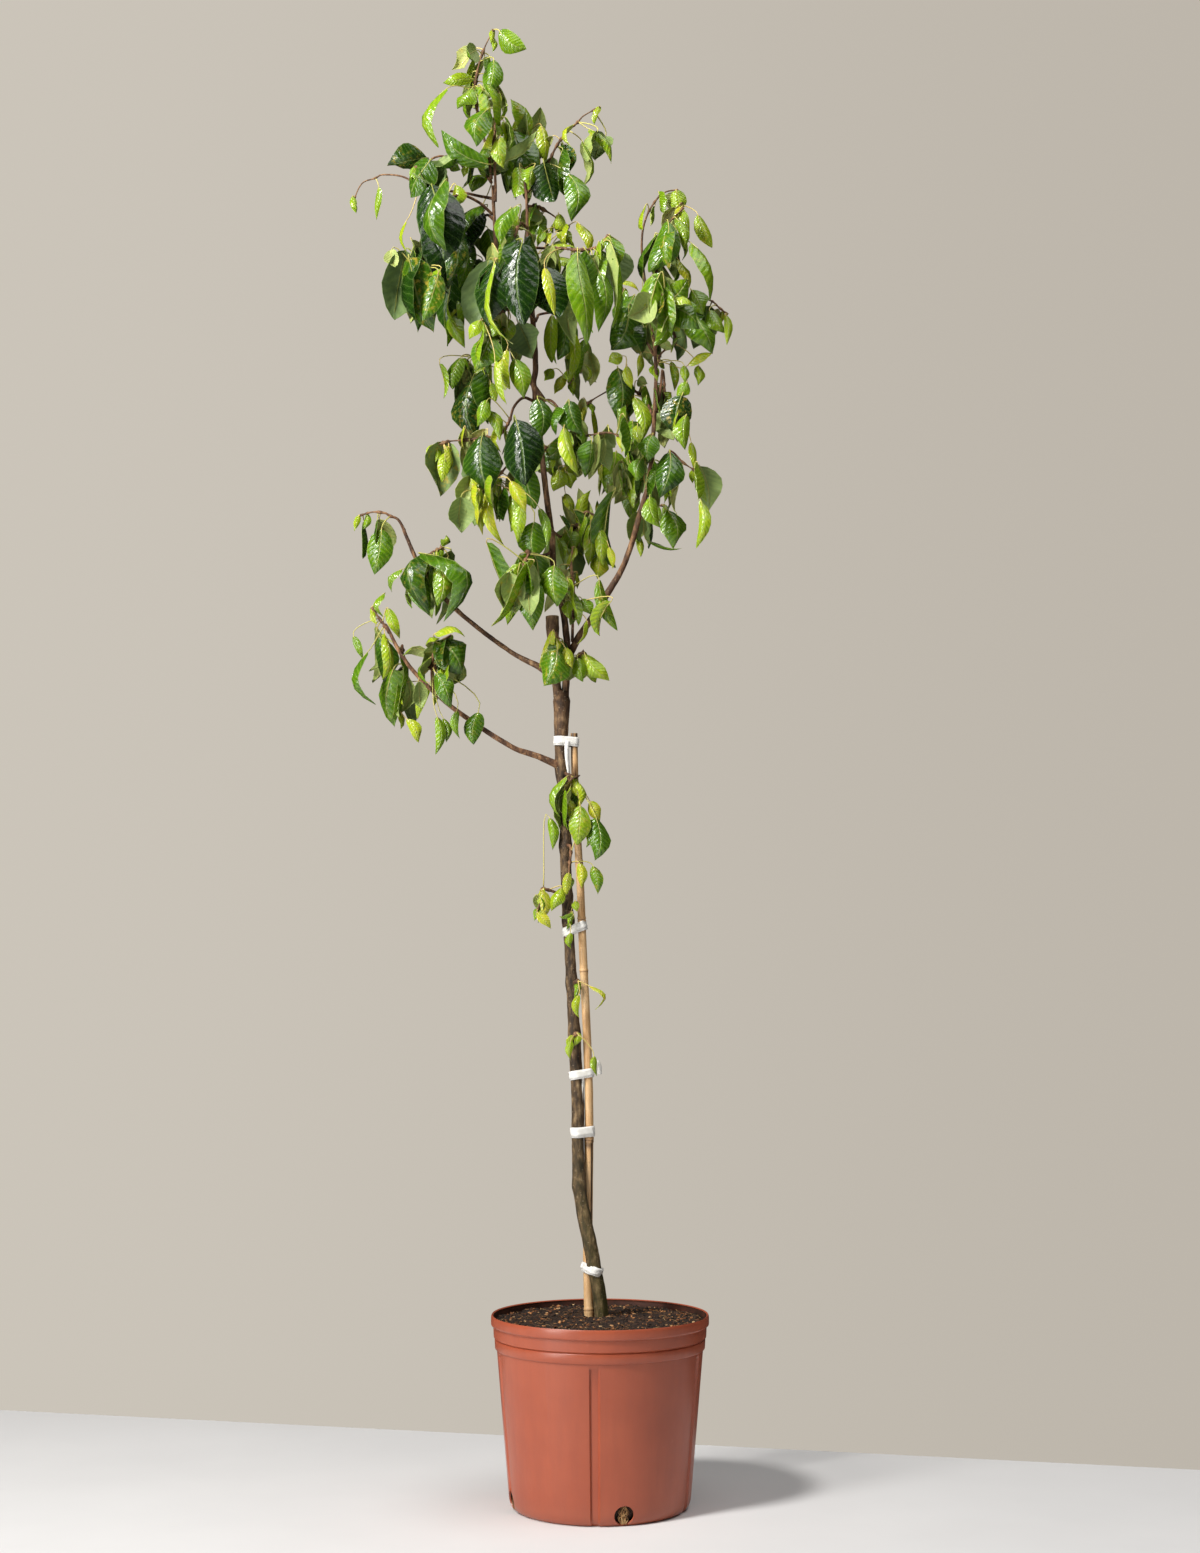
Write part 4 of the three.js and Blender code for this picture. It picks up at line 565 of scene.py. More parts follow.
def add_rod(form, line, radii, sides, relief=None, paint=None, layer=None):
    """A closed round rod along a line.

    relief(spot, share, angle, out) gives what is added to the radius at a point of the line,
    a share of its length and a way out from it; paint(spot, share, angle, out) gives the
    colour written into the layer there.
    """
    last = len(line) - 1
    way = (line[1] - line[0]).normalized()
    side = way.orthogonal().normalized()
    ring = bmesh.ops.create_circle(form, segments=sides, radius=1)["verts"]
    ring_edges = edges_among(ring)
    old = Matrix.Identity(4)
    rings = []
    for i, centre in enumerate(line):
        ahead = (line[min(i + 1, last)] - line[max(i - 1, 0)]).normalized()
        side.rotate(way.rotation_difference(ahead))
        way = ahead
        side = (side - way * side.dot(way)).normalized()
        up = way.cross(side)
        radius = value_along(radii, i / last)
        turned = Matrix((side * radius, up * radius, way)).transposed().to_4x4()
        new = Matrix.Translation(centre) @ turned
        if i:
            pulled = bmesh.ops.extrude_edge_only(form, edges=ring_edges)["geom"]
            ring = verts_of(pulled)
            ring_edges = edges_among(ring)
        bmesh.ops.transform(form, matrix=new @ old.inverted(), verts=ring)
        old = new
        rings.append((ring, centre, side.copy(), up, i / last))
        if i in (0, last):
            bmesh.ops.contextual_create(form, geom=ring_edges)
    for ring, centre, side, up, share in rings:
        for vert in ring:
            out = (vert.co - centre).normalized()
            angle = math.atan2(out.dot(up), out.dot(side))
            if relief:
                vert.co += out * relief(centre, share, angle, out)
            if paint:
                vert[layer] = paint(centre, share, angle, out)
    verts = {vert for ring, *rest in rings for vert in ring}
    faces = list({face for vert in verts for face in vert.link_faces})
    bmesh.ops.recalc_face_normals(form, faces=faces)
    for face in faces:
        face.smooth = True
    return faces


def fibre_material():
    material, tree, shader = new_material("dry_fibres")
    tone = noise_at(tree, object_place(tree), 120.0, 2.0)
    base = color_steps(tree, tone, [(0.35, (0.12, 0.055, 0.020)), (0.55, (0.36, 0.19, 0.07)),
                                    (0.7, (0.55, 0.36, 0.16))])
    fill_inputs(tree, shader, {"Base Color": base, "Roughness": 0.7})
    return material


FIBRE_COUNT = 170
ROOTS_PER_HOLE = 13
fibre_draw = random.Random(11)
fibres = bmesh.new()
for i in range(FIBRE_COUNT):
    start = random_spot_on_soil(fibre_draw)
    turn = fibre_draw.uniform(0, 2 * math.pi)
    knees = [start - Vector((0, 0, 1.0 * MM))]
    for k in range(3):
        turn += fibre_draw.uniform(-0.8, 0.8)
        step = fibre_draw.uniform(2.5, 7) * MM
        spot = knees[-1] + Vector((math.cos(turn), math.sin(turn), 0)) * step
        if spot.xy.length > RIM_RADIUS - 5 * MM:
            break
        spot.z = soil_height(spot.x, spot.y) + fibre_draw.uniform(0.2, 1.6) * MM
        knees.append(spot)
    if len(knees) > 2:
        add_rod(fibres, smooth_line(knees, 3 * MM), [0.32 * MM, 0.28 * MM, 0.15 * MM], 3)
for i in range(HOLE_COUNT):
    turn = HOLE_START + i * 2 * math.pi / HOLE_COUNT
    out = Vector((math.sin(turn), -math.cos(turn), 0))
    across = Vector((math.cos(turn), math.sin(turn), 0))
    for k in range(ROOTS_PER_HOLE):
        knees = []
        for share in (-1, -0.3, 0.3, 1):
            reach = Vector((fibre_draw.uniform(-1, 1) * 0.7, share)) * HOLE_RADIUS * 0.92
            reach.x *= math.sqrt(1 - min(abs(share) * 0.85, 1) ** 2)
            depth = wall_radius(HOLE_HEIGHT) - fibre_draw.uniform(2.6, 4.2) * MM
            knees.append(out * (depth - 2 * MM * (share < -0.5)) + across * reach.x
                         + Vector((0, 0, HOLE_HEIGHT + reach.y)))
        add_rod(fibres, smooth_line(knees, 3.5 * MM), [0.45 * MM, 0.6 * MM, 0.4 * MM], 5)
make_piece("soil_fibres", fibres, [fibre_material()], "potting_mix", "soil")


# ---- reading the frame: where the stems and leaves of a CAD node are ----
# Each stem's line and thickness, and each leaf's place, breadth and face, is read from the
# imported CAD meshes. A leaf that has only the ring near its tip is rebuilt from that ring, so its
# stalk end is an estimate; a leaf that has neither ring is missed.
UPWARDS, SIDEWAYS = 2, 0           # the axis along which a stem is cut into levels
FLAT = 2.2 * MM                    # a blade's edge in the CAD is no thicker than this
NEAR_TIP, BROADEST = 0.72, 0.36    # where along a blade the CAD has its two rings
SLIMMEST, FULLEST = 0.08, 0.45     # half-breadth of a blade as a share of its length
STEM_STEP = 14 * MM
Leaf = namedtuple("Leaf", "base spot share tip half face")


def merged_copy(name):
    """The CAD node's mesh with its loose triangles joined, only to be read."""
    form = bmesh.new()
    form.from_mesh(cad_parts[name].data)
    bmesh.ops.remove_doubles(form, verts=form.verts, dist=0.002 * MM)
    return form


def middle_of(points):
    return sum(points, Vector()) / len(points)


def outlines_at(form, level, axis):
    """The outlines of the stems that a level plane cuts, each as (centre, radius)."""
    cuts = {}
    for edge in form.edges:
        start, end = (vert.co for vert in edge.verts)
        if (start[axis] - level) * (end[axis] - level) < 0:
            cuts[edge] = start.lerp(end, (level - start[axis]) / (end[axis] - start[axis]))
    outlines = []
    while cuts:
        edge, spot = cuts.popitem()
        outline, waiting = [spot], [edge]
        while waiting:
            for face in waiting.pop().link_faces:
                for near in face.edges:
                    if near in cuts:
                        outline.append(cuts.pop(near))
                        waiting.append(near)
        low = Vector([min(point[k] for point in outline) for k in range(3)])
        high = Vector([max(point[k] for point in outline) for k in range(3)])
        across = sorted(high - low)[1]
        outlines.append(((low + high) / 2, across / 2))
    return outlines


def read_stems(name, axis=UPWARDS, foot=None, foot_low=True):
    """Each stem of a CAD node as [(centre, radius), ...] from its foot to its tip."""
    form = merged_copy(name)
    low, high = (corner[axis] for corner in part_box(name))
    if foot is not None:
        low = foot
    count = max(int((high - low) / STEM_STEP), 3)
    levels = [low + (high - low) * (i + 0.2) / (count + 0.4) for i in range(count, -1, -1)]
    if not foot_low:
        levels.reverse()
    stems, growing = [], []
    for level in levels:
        outlines = outlines_at(form, level, axis)
        taken = set()
        for stem in list(growing):
            if not outlines:
                break
            nearest = min(range(len(outlines)), key=lambda k: (outlines[k][0] - stem[-1][0]).length)
            stem.append(outlines[nearest])
            if nearest in taken:
                growing.remove(stem)
            taken.add(nearest)
        for k, outline in enumerate(outlines):
            if k not in taken and foot is None or not growing:
                stems.append([outline])
                growing.append(stems[-1])
    form.free()
    return [stem[::-1] for stem in stems if len(stem) > 2]


def point_at_height(stem, height):
    """The centre and radius of a read stem where it passes a height."""
    for (low, radius), (high, _) in zip(stem, stem[1:]):
        if high.z > height:
            return low.lerp(high, (height - low.z) / (high.z - low.z)), radius
    return stem[-1]


def next_ring(ring, seen):
    return {edge.other_vert(vert) for vert in ring for edge in vert.link_edges} - ring - seen


def blade_ring(ring):
    """Rib spot, half-breadth and face of a blade's ring of four vertices, or None."""
    if len(ring) != 4:
        return None
    spots = [vert.co.copy() for vert in ring]
    pairs = [(start, end) for i, start in enumerate(spots) for end in spots[i + 1:]]
    left, right = max(pairs, key=lambda pair: (pair[0] - pair[1]).length)
    over, under = [spot for spot in spots if spot not in (left, right)]
    if (over - under).length > FLAT or (left - right).length < 1.2 * FLAT:
        return None
    face = (left + right - over - under).normalized()
    return (over + under) / 2, (left - right).length / 2, face


def read_leaves(form):
    """Each blade of a shoot as a Leaf, and the set of vertices that the blades are made of.

    A Leaf's spot is a point of its rib, at share of its length; half is its half-breadth.
    """
    leaves, used = [], set()
    for tip in form.verts:
        near = {edge.other_vert(tip) for edge in tip.link_edges}
        narrow = blade_ring(near)
        if narrow is None or (narrow[0] - tip.co).length < FLAT:
            continue
        used |= {tip} | near
        wide_ring = next_ring(near, {tip})
        wide = blade_ring(wide_ring)
        base = tip.co + (narrow[0] - tip.co) / (1 - NEAR_TIP)
        if wide is None:
            half = narrow[1] / NEAR_TIP
            if SLIMMEST < half / (tip.co - base).length < FULLEST:
                leaves.append(Leaf(base, narrow[0], NEAR_TIP, tip.co.copy(), half, narrow[2]))
            continue
        used |= wide_ring
        stalk_ring = next_ring(wide_ring, near)
        if len(stalk_ring) == 4:
            base = middle_of([vert.co for vert in stalk_ring])
            used |= stalk_ring
        leaves.append(Leaf(base, wide[0], BROADEST, tip.co.copy(), wide[1], wide[2]))
    return leaves, used


def read_twig(form, used, wood):
    """The line of a shoot's twig, from its foot on the wood to its far end."""
    body = [vert for vert in form.verts if vert not in used]
    kept = set(body)
    foot = min(body, key=lambda vert: min((vert.co - spot).length for spot in wood))
    reached, before = {foot: 0.0}, {}
    waiting = [(0.0, foot.index, foot)]
    while waiting:
        length, _, vert = heapq.heappop(waiting)
        if length > reached[vert]:
            continue
        for edge in vert.link_edges:
            other = edge.other_vert(vert)
            further = length + edge.calc_length()
            if other in kept and further < reached.get(other, math.inf):
                reached[other], before[other] = further, vert
                heapq.heappush(waiting, (further, other.index, other))
    vert = max(reached, key=reached.get)
    line = []
    while vert:
        ring = [near.co for near in body if (near.co - vert.co).length < 2 * FLAT]
        centre = middle_of(ring)
        if not line or (line[-1] - centre).length > 2 * FLAT:
            line.append(centre)
        vert = before.get(vert)
    return line[::-1]


# ---- wood: trunk, pruned stub, leader and side limbs ----
# Grown as one: rough grey-brown bark on the trunk, moss near the soil, smoother red-brown
# bark on the limbs, a knot wherever a limb or shoot leaves the trunk and at its sharpest bend,
# and a sawn face on the stub.
KNOT_REACH = 9 * MM
trunk_stem = read_stems("trunk", foot=SOIL_TOP - 30 * MM)[0]
TRUNK_TOP = trunk_stem[-1][0].z
# Each limb: the axis it is cut along, whether its foot is at the low end, how deep the foot is
# sunk in the wood that bears it, and the age of its bark.
LIMBS = {"leader": (UPWARDS, True, 45 * MM, 0.55),
         "right_limb": (UPWARDS, True, 30 * MM, 0.45),
         "lower_left_limb": (SIDEWAYS, False, 20 * MM, 0.3),
         "upper_left_limb": (SIDEWAYS, False, 20 * MM, 0.65)}
limb_stems = {name: read_stems(name, axis, foot_low=foot_low)
              for name, (axis, foot_low, _, _) in LIMBS.items()}
stub_stem = read_stems("pruned_stub")[0]
wood_spots = [spot for stems in ([trunk_stem, stub_stem], *limb_stems.values())
              for stem in stems for spot in smooth_line([centre for centre, _ in stem], 4 * MM)]
OTHER_NODES = {"pot", "soil", "stake", "trunk", "pruned_stub", *LIMBS}
shoots = {}
for name in sorted(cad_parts):
    if name in OTHER_NODES or name.startswith("tie_"):
        continue
    shoot_form = merged_copy(name)
    shoot_leaves, blade_verts = read_leaves(shoot_form)
    shoots[name] = (read_twig(shoot_form, blade_verts, wood_spots), shoot_leaves)
    shoot_form.free()


def heading(degrees):
    turn = math.radians(degrees)
    return Vector((math.sin(turn), -math.cos(turn), 0))


def in_mm(values):
    return [value * MM for value in values]


def stem_rod(form, stem, gap, sides, relief, paint, look, sunk=0.0):
    """A rod along a read stem, its foot sunk a little into the wood that bears it."""
    if sunk:
        stem = stem[1:]
    spots = [centre for centre, _ in stem]
    foot = spots[0] + (spots[0] - spots[1]).normalized() * sunk
    tip = spots[-1] + (spots[-1] - spots[-2]) * 0.2
    line = smooth_line([foot, *spots, tip] if sunk else [*spots, tip], gap)
    radii = [radius for _, radius in stem]
    flare = [radii[0] * 1.25] if sunk else []
    add_rod(form, line, [*flare, *radii, radii[-1]], sides, relief, paint, look)
    return line


def sharpest_bend(stem):
    """Where a stem turns most."""
    spots = [centre for centre, _ in stem]
    bends = [((after - spot).angle(spot - before), spot)
             for before, spot, after in zip(spots, spots[1:], spots[2:])]
    return max(bends, key=lambda bend: bend[0])[1]


feet = [line[0] for line, _ in shoots.values()] + [stems[0][0][0] for stems in limb_stems.values()]
trunk_spots = [centre for centre, _ in trunk_stem]
knots = [foot for foot in feet if min((foot - spot).length for spot in trunk_spots) < 2 * STEM_STEP]
knots.append(sharpest_bend(trunk_stem) + heading(-80) * 9 * MM)


def trunk_relief(spot, share, angle, out):
    near = max(math.exp(-((spot - knot).length / KNOT_REACH) ** 2) for knot in knots)
    rough = noise_of(out.x * 2.2, out.y * 2.2, spot.z * 26) * 0.75
    rough += noise_of(out.x * 5, out.y * 5, spot.z * 95 + 9) * 0.45
    rough += noise_of(out.x * 11, out.y * 11, spot.z * 240) * 0.22
    closing = 3.5 * step_between(spot.z, TRUNK_TOP - 12 * MM, TRUNK_TOP)
    return (near * 3.2 + rough - closing) * MM


def trunk_paint(spot, share, angle, out):
    """Red: age of the bark; green: moss; blue: bare or scarred wood."""
    low = 1 - step_between(spot.z, SOIL_TOP + 25 * MM, SOIL_TOP + 85 * MM)
    moss = low * max(out.dot(heading(60)), 0) * 0.9
    half_way = SOIL_TOP + (TRUNK_TOP - SOIL_TOP) * 0.4
    film = 0.50 * (1 - step_between(spot.z, SOIL_TOP, half_way)) * (
        0.4 + 0.6 * max(out.dot(heading(20)), 0))
    below_fork = abs(spot.z - (TRUNK_TOP - 35 * MM)) / MM
    scar = math.exp(-(below_fork / 3.5) ** 2) * max(out.dot(heading(0)), 0)
    age = 1.0 - 0.35 * step_between(spot.z, TRUNK_TOP - 150 * MM, TRUNK_TOP)
    return (age, max(moss, film), scar * 0.8, 1)


def bark_material():
    """Bark coloured by the painted age, moss and scars."""
    material, tree, shader = new_material("pear_bark")
    spot = object_place(tree)
    part = painted_parts(tree)
    plates = noise_at(tree, object_place(tree, (1, 1, 0.35)), 160.0, 5.0, 0.65)
    blotch = noise_at(tree, object_place(tree, (1, 1, 0.6)), 45.0, 3.0)
    fine = noise_at(tree, spot, 700.0, 4.0, 0.7)
    old = color_steps(tree, plates, [(0.32, (0.014, 0.009, 0.005)), (0.46, (0.060, 0.036, 0.018)),
                                     (0.58, (0.15, 0.094, 0.046)), (0.72, (0.34, 0.24, 0.13))])
    young = color_steps(tree, plates, [(0.30, (0.030, 0.013, 0.008)), (0.48, (0.13, 0.058, 0.028)),
                                       (0.62, (0.32, 0.16, 0.075)), (0.76, (0.52, 0.32, 0.17))])
    base = blend_colors(tree, part[0], young, old)
    base = blend_colors(tree, range_of(tree, blotch, 0.52, 0.72, 0.0, 0.55), base,
                        (0.012, 0.008, 0.006, 1))
    pores = add_node(tree, "TexVoronoi", {"Vector": object_place(tree, (1, 1, 1.7)), "Scale": 150.0})
    dots = range_of(tree, pores.outputs["Distance"], 0.10, 0.20, 0.75, 0.0)
    base = blend_colors(tree, dots, base, (0.30, 0.23, 0.15, 1))
    mossy = times(tree, part[1], range_of(tree, fine, 0.35, 0.6))
    base = blend_colors(tree, mossy, base, (0.075, 0.085, 0.010, 1))
    raw = color_steps(tree, plates, [(0.35, (0.14, 0.075, 0.035)), (0.65, (0.46, 0.30, 0.16))])
    base = blend_colors(tree, part[2], base, raw)
    height = plus(tree, plates, times(tree, fine, 0.35))
    height = plus(tree, height, times(tree, dots, 0.3))
    fill_inputs(tree, shader, {
        "Base Color": base, "Roughness": range_of(tree, plates, 0.3, 0.7, 0.62, 0.85),
        "Normal": bump_of(tree, height, 1.1 * MM), "Specular IOR Level": 0.35})
    return material


pear_bark = bark_material()
trunk_form, look = painted_form()
stem_rod(trunk_form, trunk_stem, 2.4 * MM, 28, trunk_relief, trunk_paint, look)
make_piece("trunk_wood", trunk_form, [pear_bark], "trunk_bark", "trunk")


def limb_relief(spot, share, angle, out):
    ring = noise_of(spot.x * 30, spot.y * 30, spot.z * 30)
    fine = noise_of(out.x * 3 + spot.x * 150, out.y * 3, spot.z * 150)
    spur = max(noise_of(spot.x * 55, 4.4, spot.z * 55 + 2) - 0.28, 0)
    return (ring * 0.35 + fine * 0.28 + spur * 2.4 * max(out.x * 0.7 - out.y * 0.7, 0)) * MM


for name, stems in limb_stems.items():
    limb_form, look = painted_form()
    _, _, sunk, age = LIMBS[name]
    for stem in stems:
        stem_rod(limb_form, stem, 2.8 * MM, 14, limb_relief,
                 lambda spot, share, angle, out: (age * (1 - 0.6 * share), 0, 0, 1), look, sunk)
    make_piece(name + "_wood", limb_form, [pear_bark], "trunk_bark", name)


def stub_paint(spot, share, angle, out):
    return (0.75, 0, 0.25 * step_between(share, 0.6, 1), 1)


stub_form, look = painted_form()
stub_line = stem_rod(stub_form, stub_stem, 2.4 * MM, 22, limb_relief, stub_paint, look, 35 * MM)
cut_normal = (stub_line[-1] - stub_line[-2]).normalized()
cut_face = max(stub_form.faces, key=lambda face: face.calc_center_median().dot(cut_normal))
ring = bmesh.ops.inset_region(stub_form, faces=[cut_face], thickness=1.1 * MM, depth=0.5 * MM)
wood = bmesh.ops.inset_region(stub_form, faces=[cut_face], thickness=2.5 * MM, depth=-0.9 * MM)
bmesh.ops.poke(stub_form, faces=[cut_face])
for face in wood["faces"] + ring["faces"]:
    for vert in face.verts:
        vert[look] = (0.5, 0, 1.0, 1)
make_piece("pruned_stub_wood", stub_form, [pear_bark], "trunk_bark", "pruned_stub")


# ---- stake: a bamboo cane pushed into the soil beside the trunk ----
# Dry straw-coloured bamboo: a pale ring at the soil, a broken dark knot, raised double
# rings at the nodes with a painted shadow line between them, one long brown split and a dark weathered
# top.
stake_stem = read_stems("stake")[0]
STAKE_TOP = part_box("stake")[1].z
NODE_SHARES = (0.013, 0.30, 0.587, 0.677, 0.775, 0.905)   # of the cane's height above the soil
SPLIT_SHARES = (0.155, 0.305)


def cane_height(share):
    return SOIL_TOP + (STAKE_TOP - SOIL_TOP) * share


def split_at(spot, out, wander):
    low, high = (cane_height(share) for share in SPLIT_SHARES)
    return (step_between(spot.z, low, low + 12 * MM) * (1 - step_between(spot.z, high - 8 * MM, high))
            * step_between(out.dot(heading(58)) + wander, 0.88, 0.96))


def stake_relief(spot, share, angle, out):
    added = -1.3 * split_at(spot, out, 0)
    for node_share in NODE_SHARES:
        away = (spot.z - cane_height(node_share)) / MM
        added += 1.0 * math.exp(-((away - 1.8) / 1.3) ** 2) + 0.8 * math.exp(-((away + 1.6) / 1.1) ** 2)
        added -= 0.35 * math.exp(-(away / 0.8) ** 2)
    return (added + 0.12 * noise_of(out.x * 4, out.y * 4, spot.z * 60)) * MM


def stake_paint(spot, share, angle, out):
    """Red: dark stain; green: painted shadow line in the groove at each node; blue: weathering towards
    the top.
    """
    wander = noise_of(3.3, out.x, spot.z * 90) * 0.03
    knot = math.exp(-((spot.z - cane_height(NODE_SHARES[1]) + 6 * MM) / (4.5 * MM)) ** 2)
    knot *= step_between(out.dot(heading(15)), 0.1, 0.8) * 0.8
    # Each node gets a painted shadow line in the groove between its two raised rings.
    rings = 0.0
    for node_share in NODE_SHARES:
        rings += math.exp(-(((spot.z - cane_height(node_share)) / MM - 0.2) / 0.9) ** 2)
    high = step_between(spot.z, cane_height(0.70), cane_height(0.86))
    patch = high * max(noise_of(out.x * 1.2, out.y * 1.2, spot.z * 35) + 0.45, 0) * 1.2
    return (min(max(split_at(spot, out, wander), knot, patch), 1), min(rings, 1), high, 1)


def bamboo_material():
    material, tree, shader = new_material("dry_bamboo")
    part = painted_parts(tree)
    fibre = noise_at(tree, object_place(tree, (1, 1, 0.02)), 900.0, 3.0)
    cloud = noise_at(tree, object_place(tree, (1, 1, 0.3)), 60.0, 4.0)
    speck = noise_at(tree, object_place(tree, (1, 1, 0.5)), 420.0, 2.0)
    base = color_steps(tree, cloud, [(0.30, (0.50, 0.27, 0.11)), (0.50, (0.66, 0.41, 0.19)),
                                     (0.72, (0.74, 0.54, 0.31))])
    base = blend_colors(tree, range_of(tree, fibre, 0.35, 0.75, 0.0, 0.35), base,
                        (0.44, 0.25, 0.11, 1))
    base = blend_colors(tree, range_of(tree, speck, 0.68, 0.74, 0.0, 0.6), base,
                        (0.16, 0.08, 0.04, 1))
    # Darkened at the nodes by the painted shadow line in each groove.
    base = blend_colors(tree, times(tree, part[1], 0.90), base,
                        (0.24, 0.12, 0.05, 1))
    stain = times(tree, part[0], range_of(tree, fibre, 0.2, 0.5, 0.75, 1.0))
    base = blend_colors(tree, stain, base, (0.055, 0.026, 0.014, 1))
    fill_inputs(tree, shader, {
        "Base Color": base, "Roughness": range_of(tree, cloud, 0.3, 0.7, 0.38, 0.55),
        "Normal": bump_of(tree, fibre, 0.25 * MM, 0.7)})
    return material


cane, look = painted_form()
cane_radii = sorted((radius for _, radius in stake_stem), reverse=True)
cane_stem = [(centre, radius) for (centre, _), radius in zip(stake_stem, cane_radii)]
stem_rod(cane, cane_stem, 1.5 * MM, 24, stake_relief, stake_paint, look)
make_piece("bamboo_cane", cane, [bamboo_material()], "bamboo", "stake")


# ---- ties: white stretch tape wound round the trunk and the cane ----
# Thin matt white tape, two turns each, pulled tight so that it wrinkles; some end in loose
# tails, and thin threads of it hang between the stems.
THREADS = {"tie_middle": 62 * MM, "tie_lower": 42 * MM}    # lengths of the loose threads
TAPE_SIDES, TAPE_ROWS = 44, 4


def read_tie(name):
    """Height, width and tilt of a tie's band, and the lines of its loose tails."""
    form = merged_copy(name)
    spots = [vert.co.copy() for vert in form.verts]
    form.free()
    low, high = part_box(name)
    back = [spot for spot in spots if spot.y > (low.y + high.y) / 2]
    reach = (high.x - low.x) * 0.3
    left_end, right_end = min(spot.x for spot in back), max(spot.x for spot in back)
    left = [spot.z for spot in back if spot.x < left_end + reach]
    right = [spot.z for spot in back if spot.x > right_end - reach]
    ends = [(min(levels) + max(levels)) / 2 for levels in (left, right)]
    width = max(left) - min(left)
    level = sum(ends) / 2
    tilt = -math.atan2(ends[1] - ends[0], (high.x - low.x) * 0.7)
    tails = []
    for way in (-1, 1):
        loose = sorted((spot for spot in spots if (spot.z - level) * way > width * 0.75),
                       key=lambda spot: spot.z * way)
        if len(loose) > 3:
            pairs = [middle_of(loose[i:i + 4]) for i in range(0, len(loose) - 3, 4)]
            start = pairs[0].copy()
            start.z = level
            tails.append([start, *pairs, middle_of(loose[-4:])])
    return level, width, tilt, tails


def tape_line(stems, margin, count):
    """The outline of a tape drawn tight round two round stems, from above."""
    line = []
    for i in range(count):
        turn = i * 2 * math.pi / count
        way = Vector((math.cos(turn), math.sin(turn)))
        ends = [centre.xy + way * (radius + margin) for centre, radius in stems]
        line.append(max(ends, key=lambda end: end.dot(way)))
    return line


def tape_material():
    material, tree, shader = new_material("white_tape")
    crease = noise_at(tree, object_place(tree, (0.4, 0.4, 1)), 420.0, 4.0)
    dirt = noise_at(tree, object_place(tree), 130.0, 4.0)
    base = color_steps(tree, dirt, [(0.3, (0.74, 0.72, 0.66)), (0.6, (0.86, 0.85, 0.82))])
    # The creases are darkened with painted shade.
    base = blend_colors(tree, range_of(tree, crease, 0.58, 0.75, 0.0, 0.25), base,
                        (0.52, 0.49, 0.42, 1))
    fill_inputs(tree, shader, {
        "Base Color": base, "Roughness": range_of(tree, crease, 0.3, 0.7, 0.42, 0.6),
        "Normal": bump_of(tree, crease, 0.5 * MM)})
    return material


def add_tape_turn(form, stems, middle, width, tilt, margin, seed):
    """One turn of tape round both stems, crimped and a little wavy; seed makes it its own."""
    outline = tape_line(stems, margin, TAPE_SIDES)
    lean = Matrix.Translation(middle) @ Matrix.Rotation(tilt, 4, "Y") @ Matrix.Translation(-middle)
    low = [form.verts.new((spot.x, spot.y, middle.z - width / 2)) for spot in outline]
    edges = [form.edges.new((vert, low[i - 1])) for i, vert in enumerate(low)]
    rows = [low]
    for i in range(TAPE_ROWS):
        pulled = bmesh.ops.extrude_edge_only(form, edges=edges)["geom"]
        row = verts_of(pulled)
        edges = edges_among(row)
        bmesh.ops.translate(form, vec=(0, 0, width / TAPE_ROWS), verts=row)
        rows.append(row)
    for row in rows:
        for vert in row:
            wave = noise_of(vert.co.x * 110, vert.co.y * 110, seed)
            crimp = noise_of(vert.co.x * 260, vert.co.z * 330, seed + 5)
            out = (vert.co.xy - middle.xy).normalized()
            vert.co.xy += out * crimp * 0.35 * MM
            vert.co.z += wave * 0.9 * MM
    bmesh.ops.transform(form, matrix=lean, verts=[vert for row in rows for vert in row])


def add_tail(form, points, width):
    """A loose end of tape along a line, tapering from its width at the band to nothing much."""
    line = smooth_line(points, 3 * MM)
    ends = [form.verts.new(line[0] + Vector((side * width / 2, 0, 0))) for side in (-1, 1)]
    edge = form.edges.new(ends)
    for i, centre in enumerate(line[1:], 1):
        pulled = bmesh.ops.extrude_edge_only(form, edges=[edge])["geom"]
        ends = verts_of(pulled)
        edge = edges_among(ends)[0]
        ends.sort(key=lambda vert: vert.co.x)
        share = i / (len(line) - 1)
        half = width * (1 - 0.6 * share ** 2) / 2
        across = Vector((math.cos(share * 0.7), math.sin(share * 0.7), 0))
        ends[0].co = centre - across * half
        ends[1].co = centre + across * half


white_tape = tape_material()
for name in sorted(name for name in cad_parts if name.startswith("tie_")):
    level, width, tilt, tails = read_tie(name)
    stems = [point_at_height(stem, level) for stem in (trunk_stem, cane_stem)]
    middle = stems[0][0].lerp(stems[1][0], 0.5)
    middle.z = level
    tape = bmesh.new()
    add_tape_turn(tape, stems, middle, width, tilt, 1.3 * MM, level * 370)
    add_tape_turn(tape, stems, middle + Vector((0, 0, 0.8 * MM)), width * 0.8, tilt * 1.25,
                  1.8 * MM, level * 530)
    for points in tails:
        add_tail(tape, points, width * 0.5)
    if name in THREADS:
        top = middle + Vector((0, -5 * MM, -width * 0.4))
        swing = Vector((0.8 * MM, 0.6 * MM, -THREADS[name]))
        add_tail(tape, [top, top + swing * 0.5, top + swing], 1.5 * MM)
    bmesh.ops.recalc_face_normals(tape, faces=tape.faces)
    smooth_faces(tape)
    piece = make_piece(name + "_tape", tape, [white_tape], "tie_tape", name)
    thickness = piece.modifiers.new("thickness", "SOLIDIFY")
    thickness.thickness = 0.3 * MM
    thickness.offset = 0


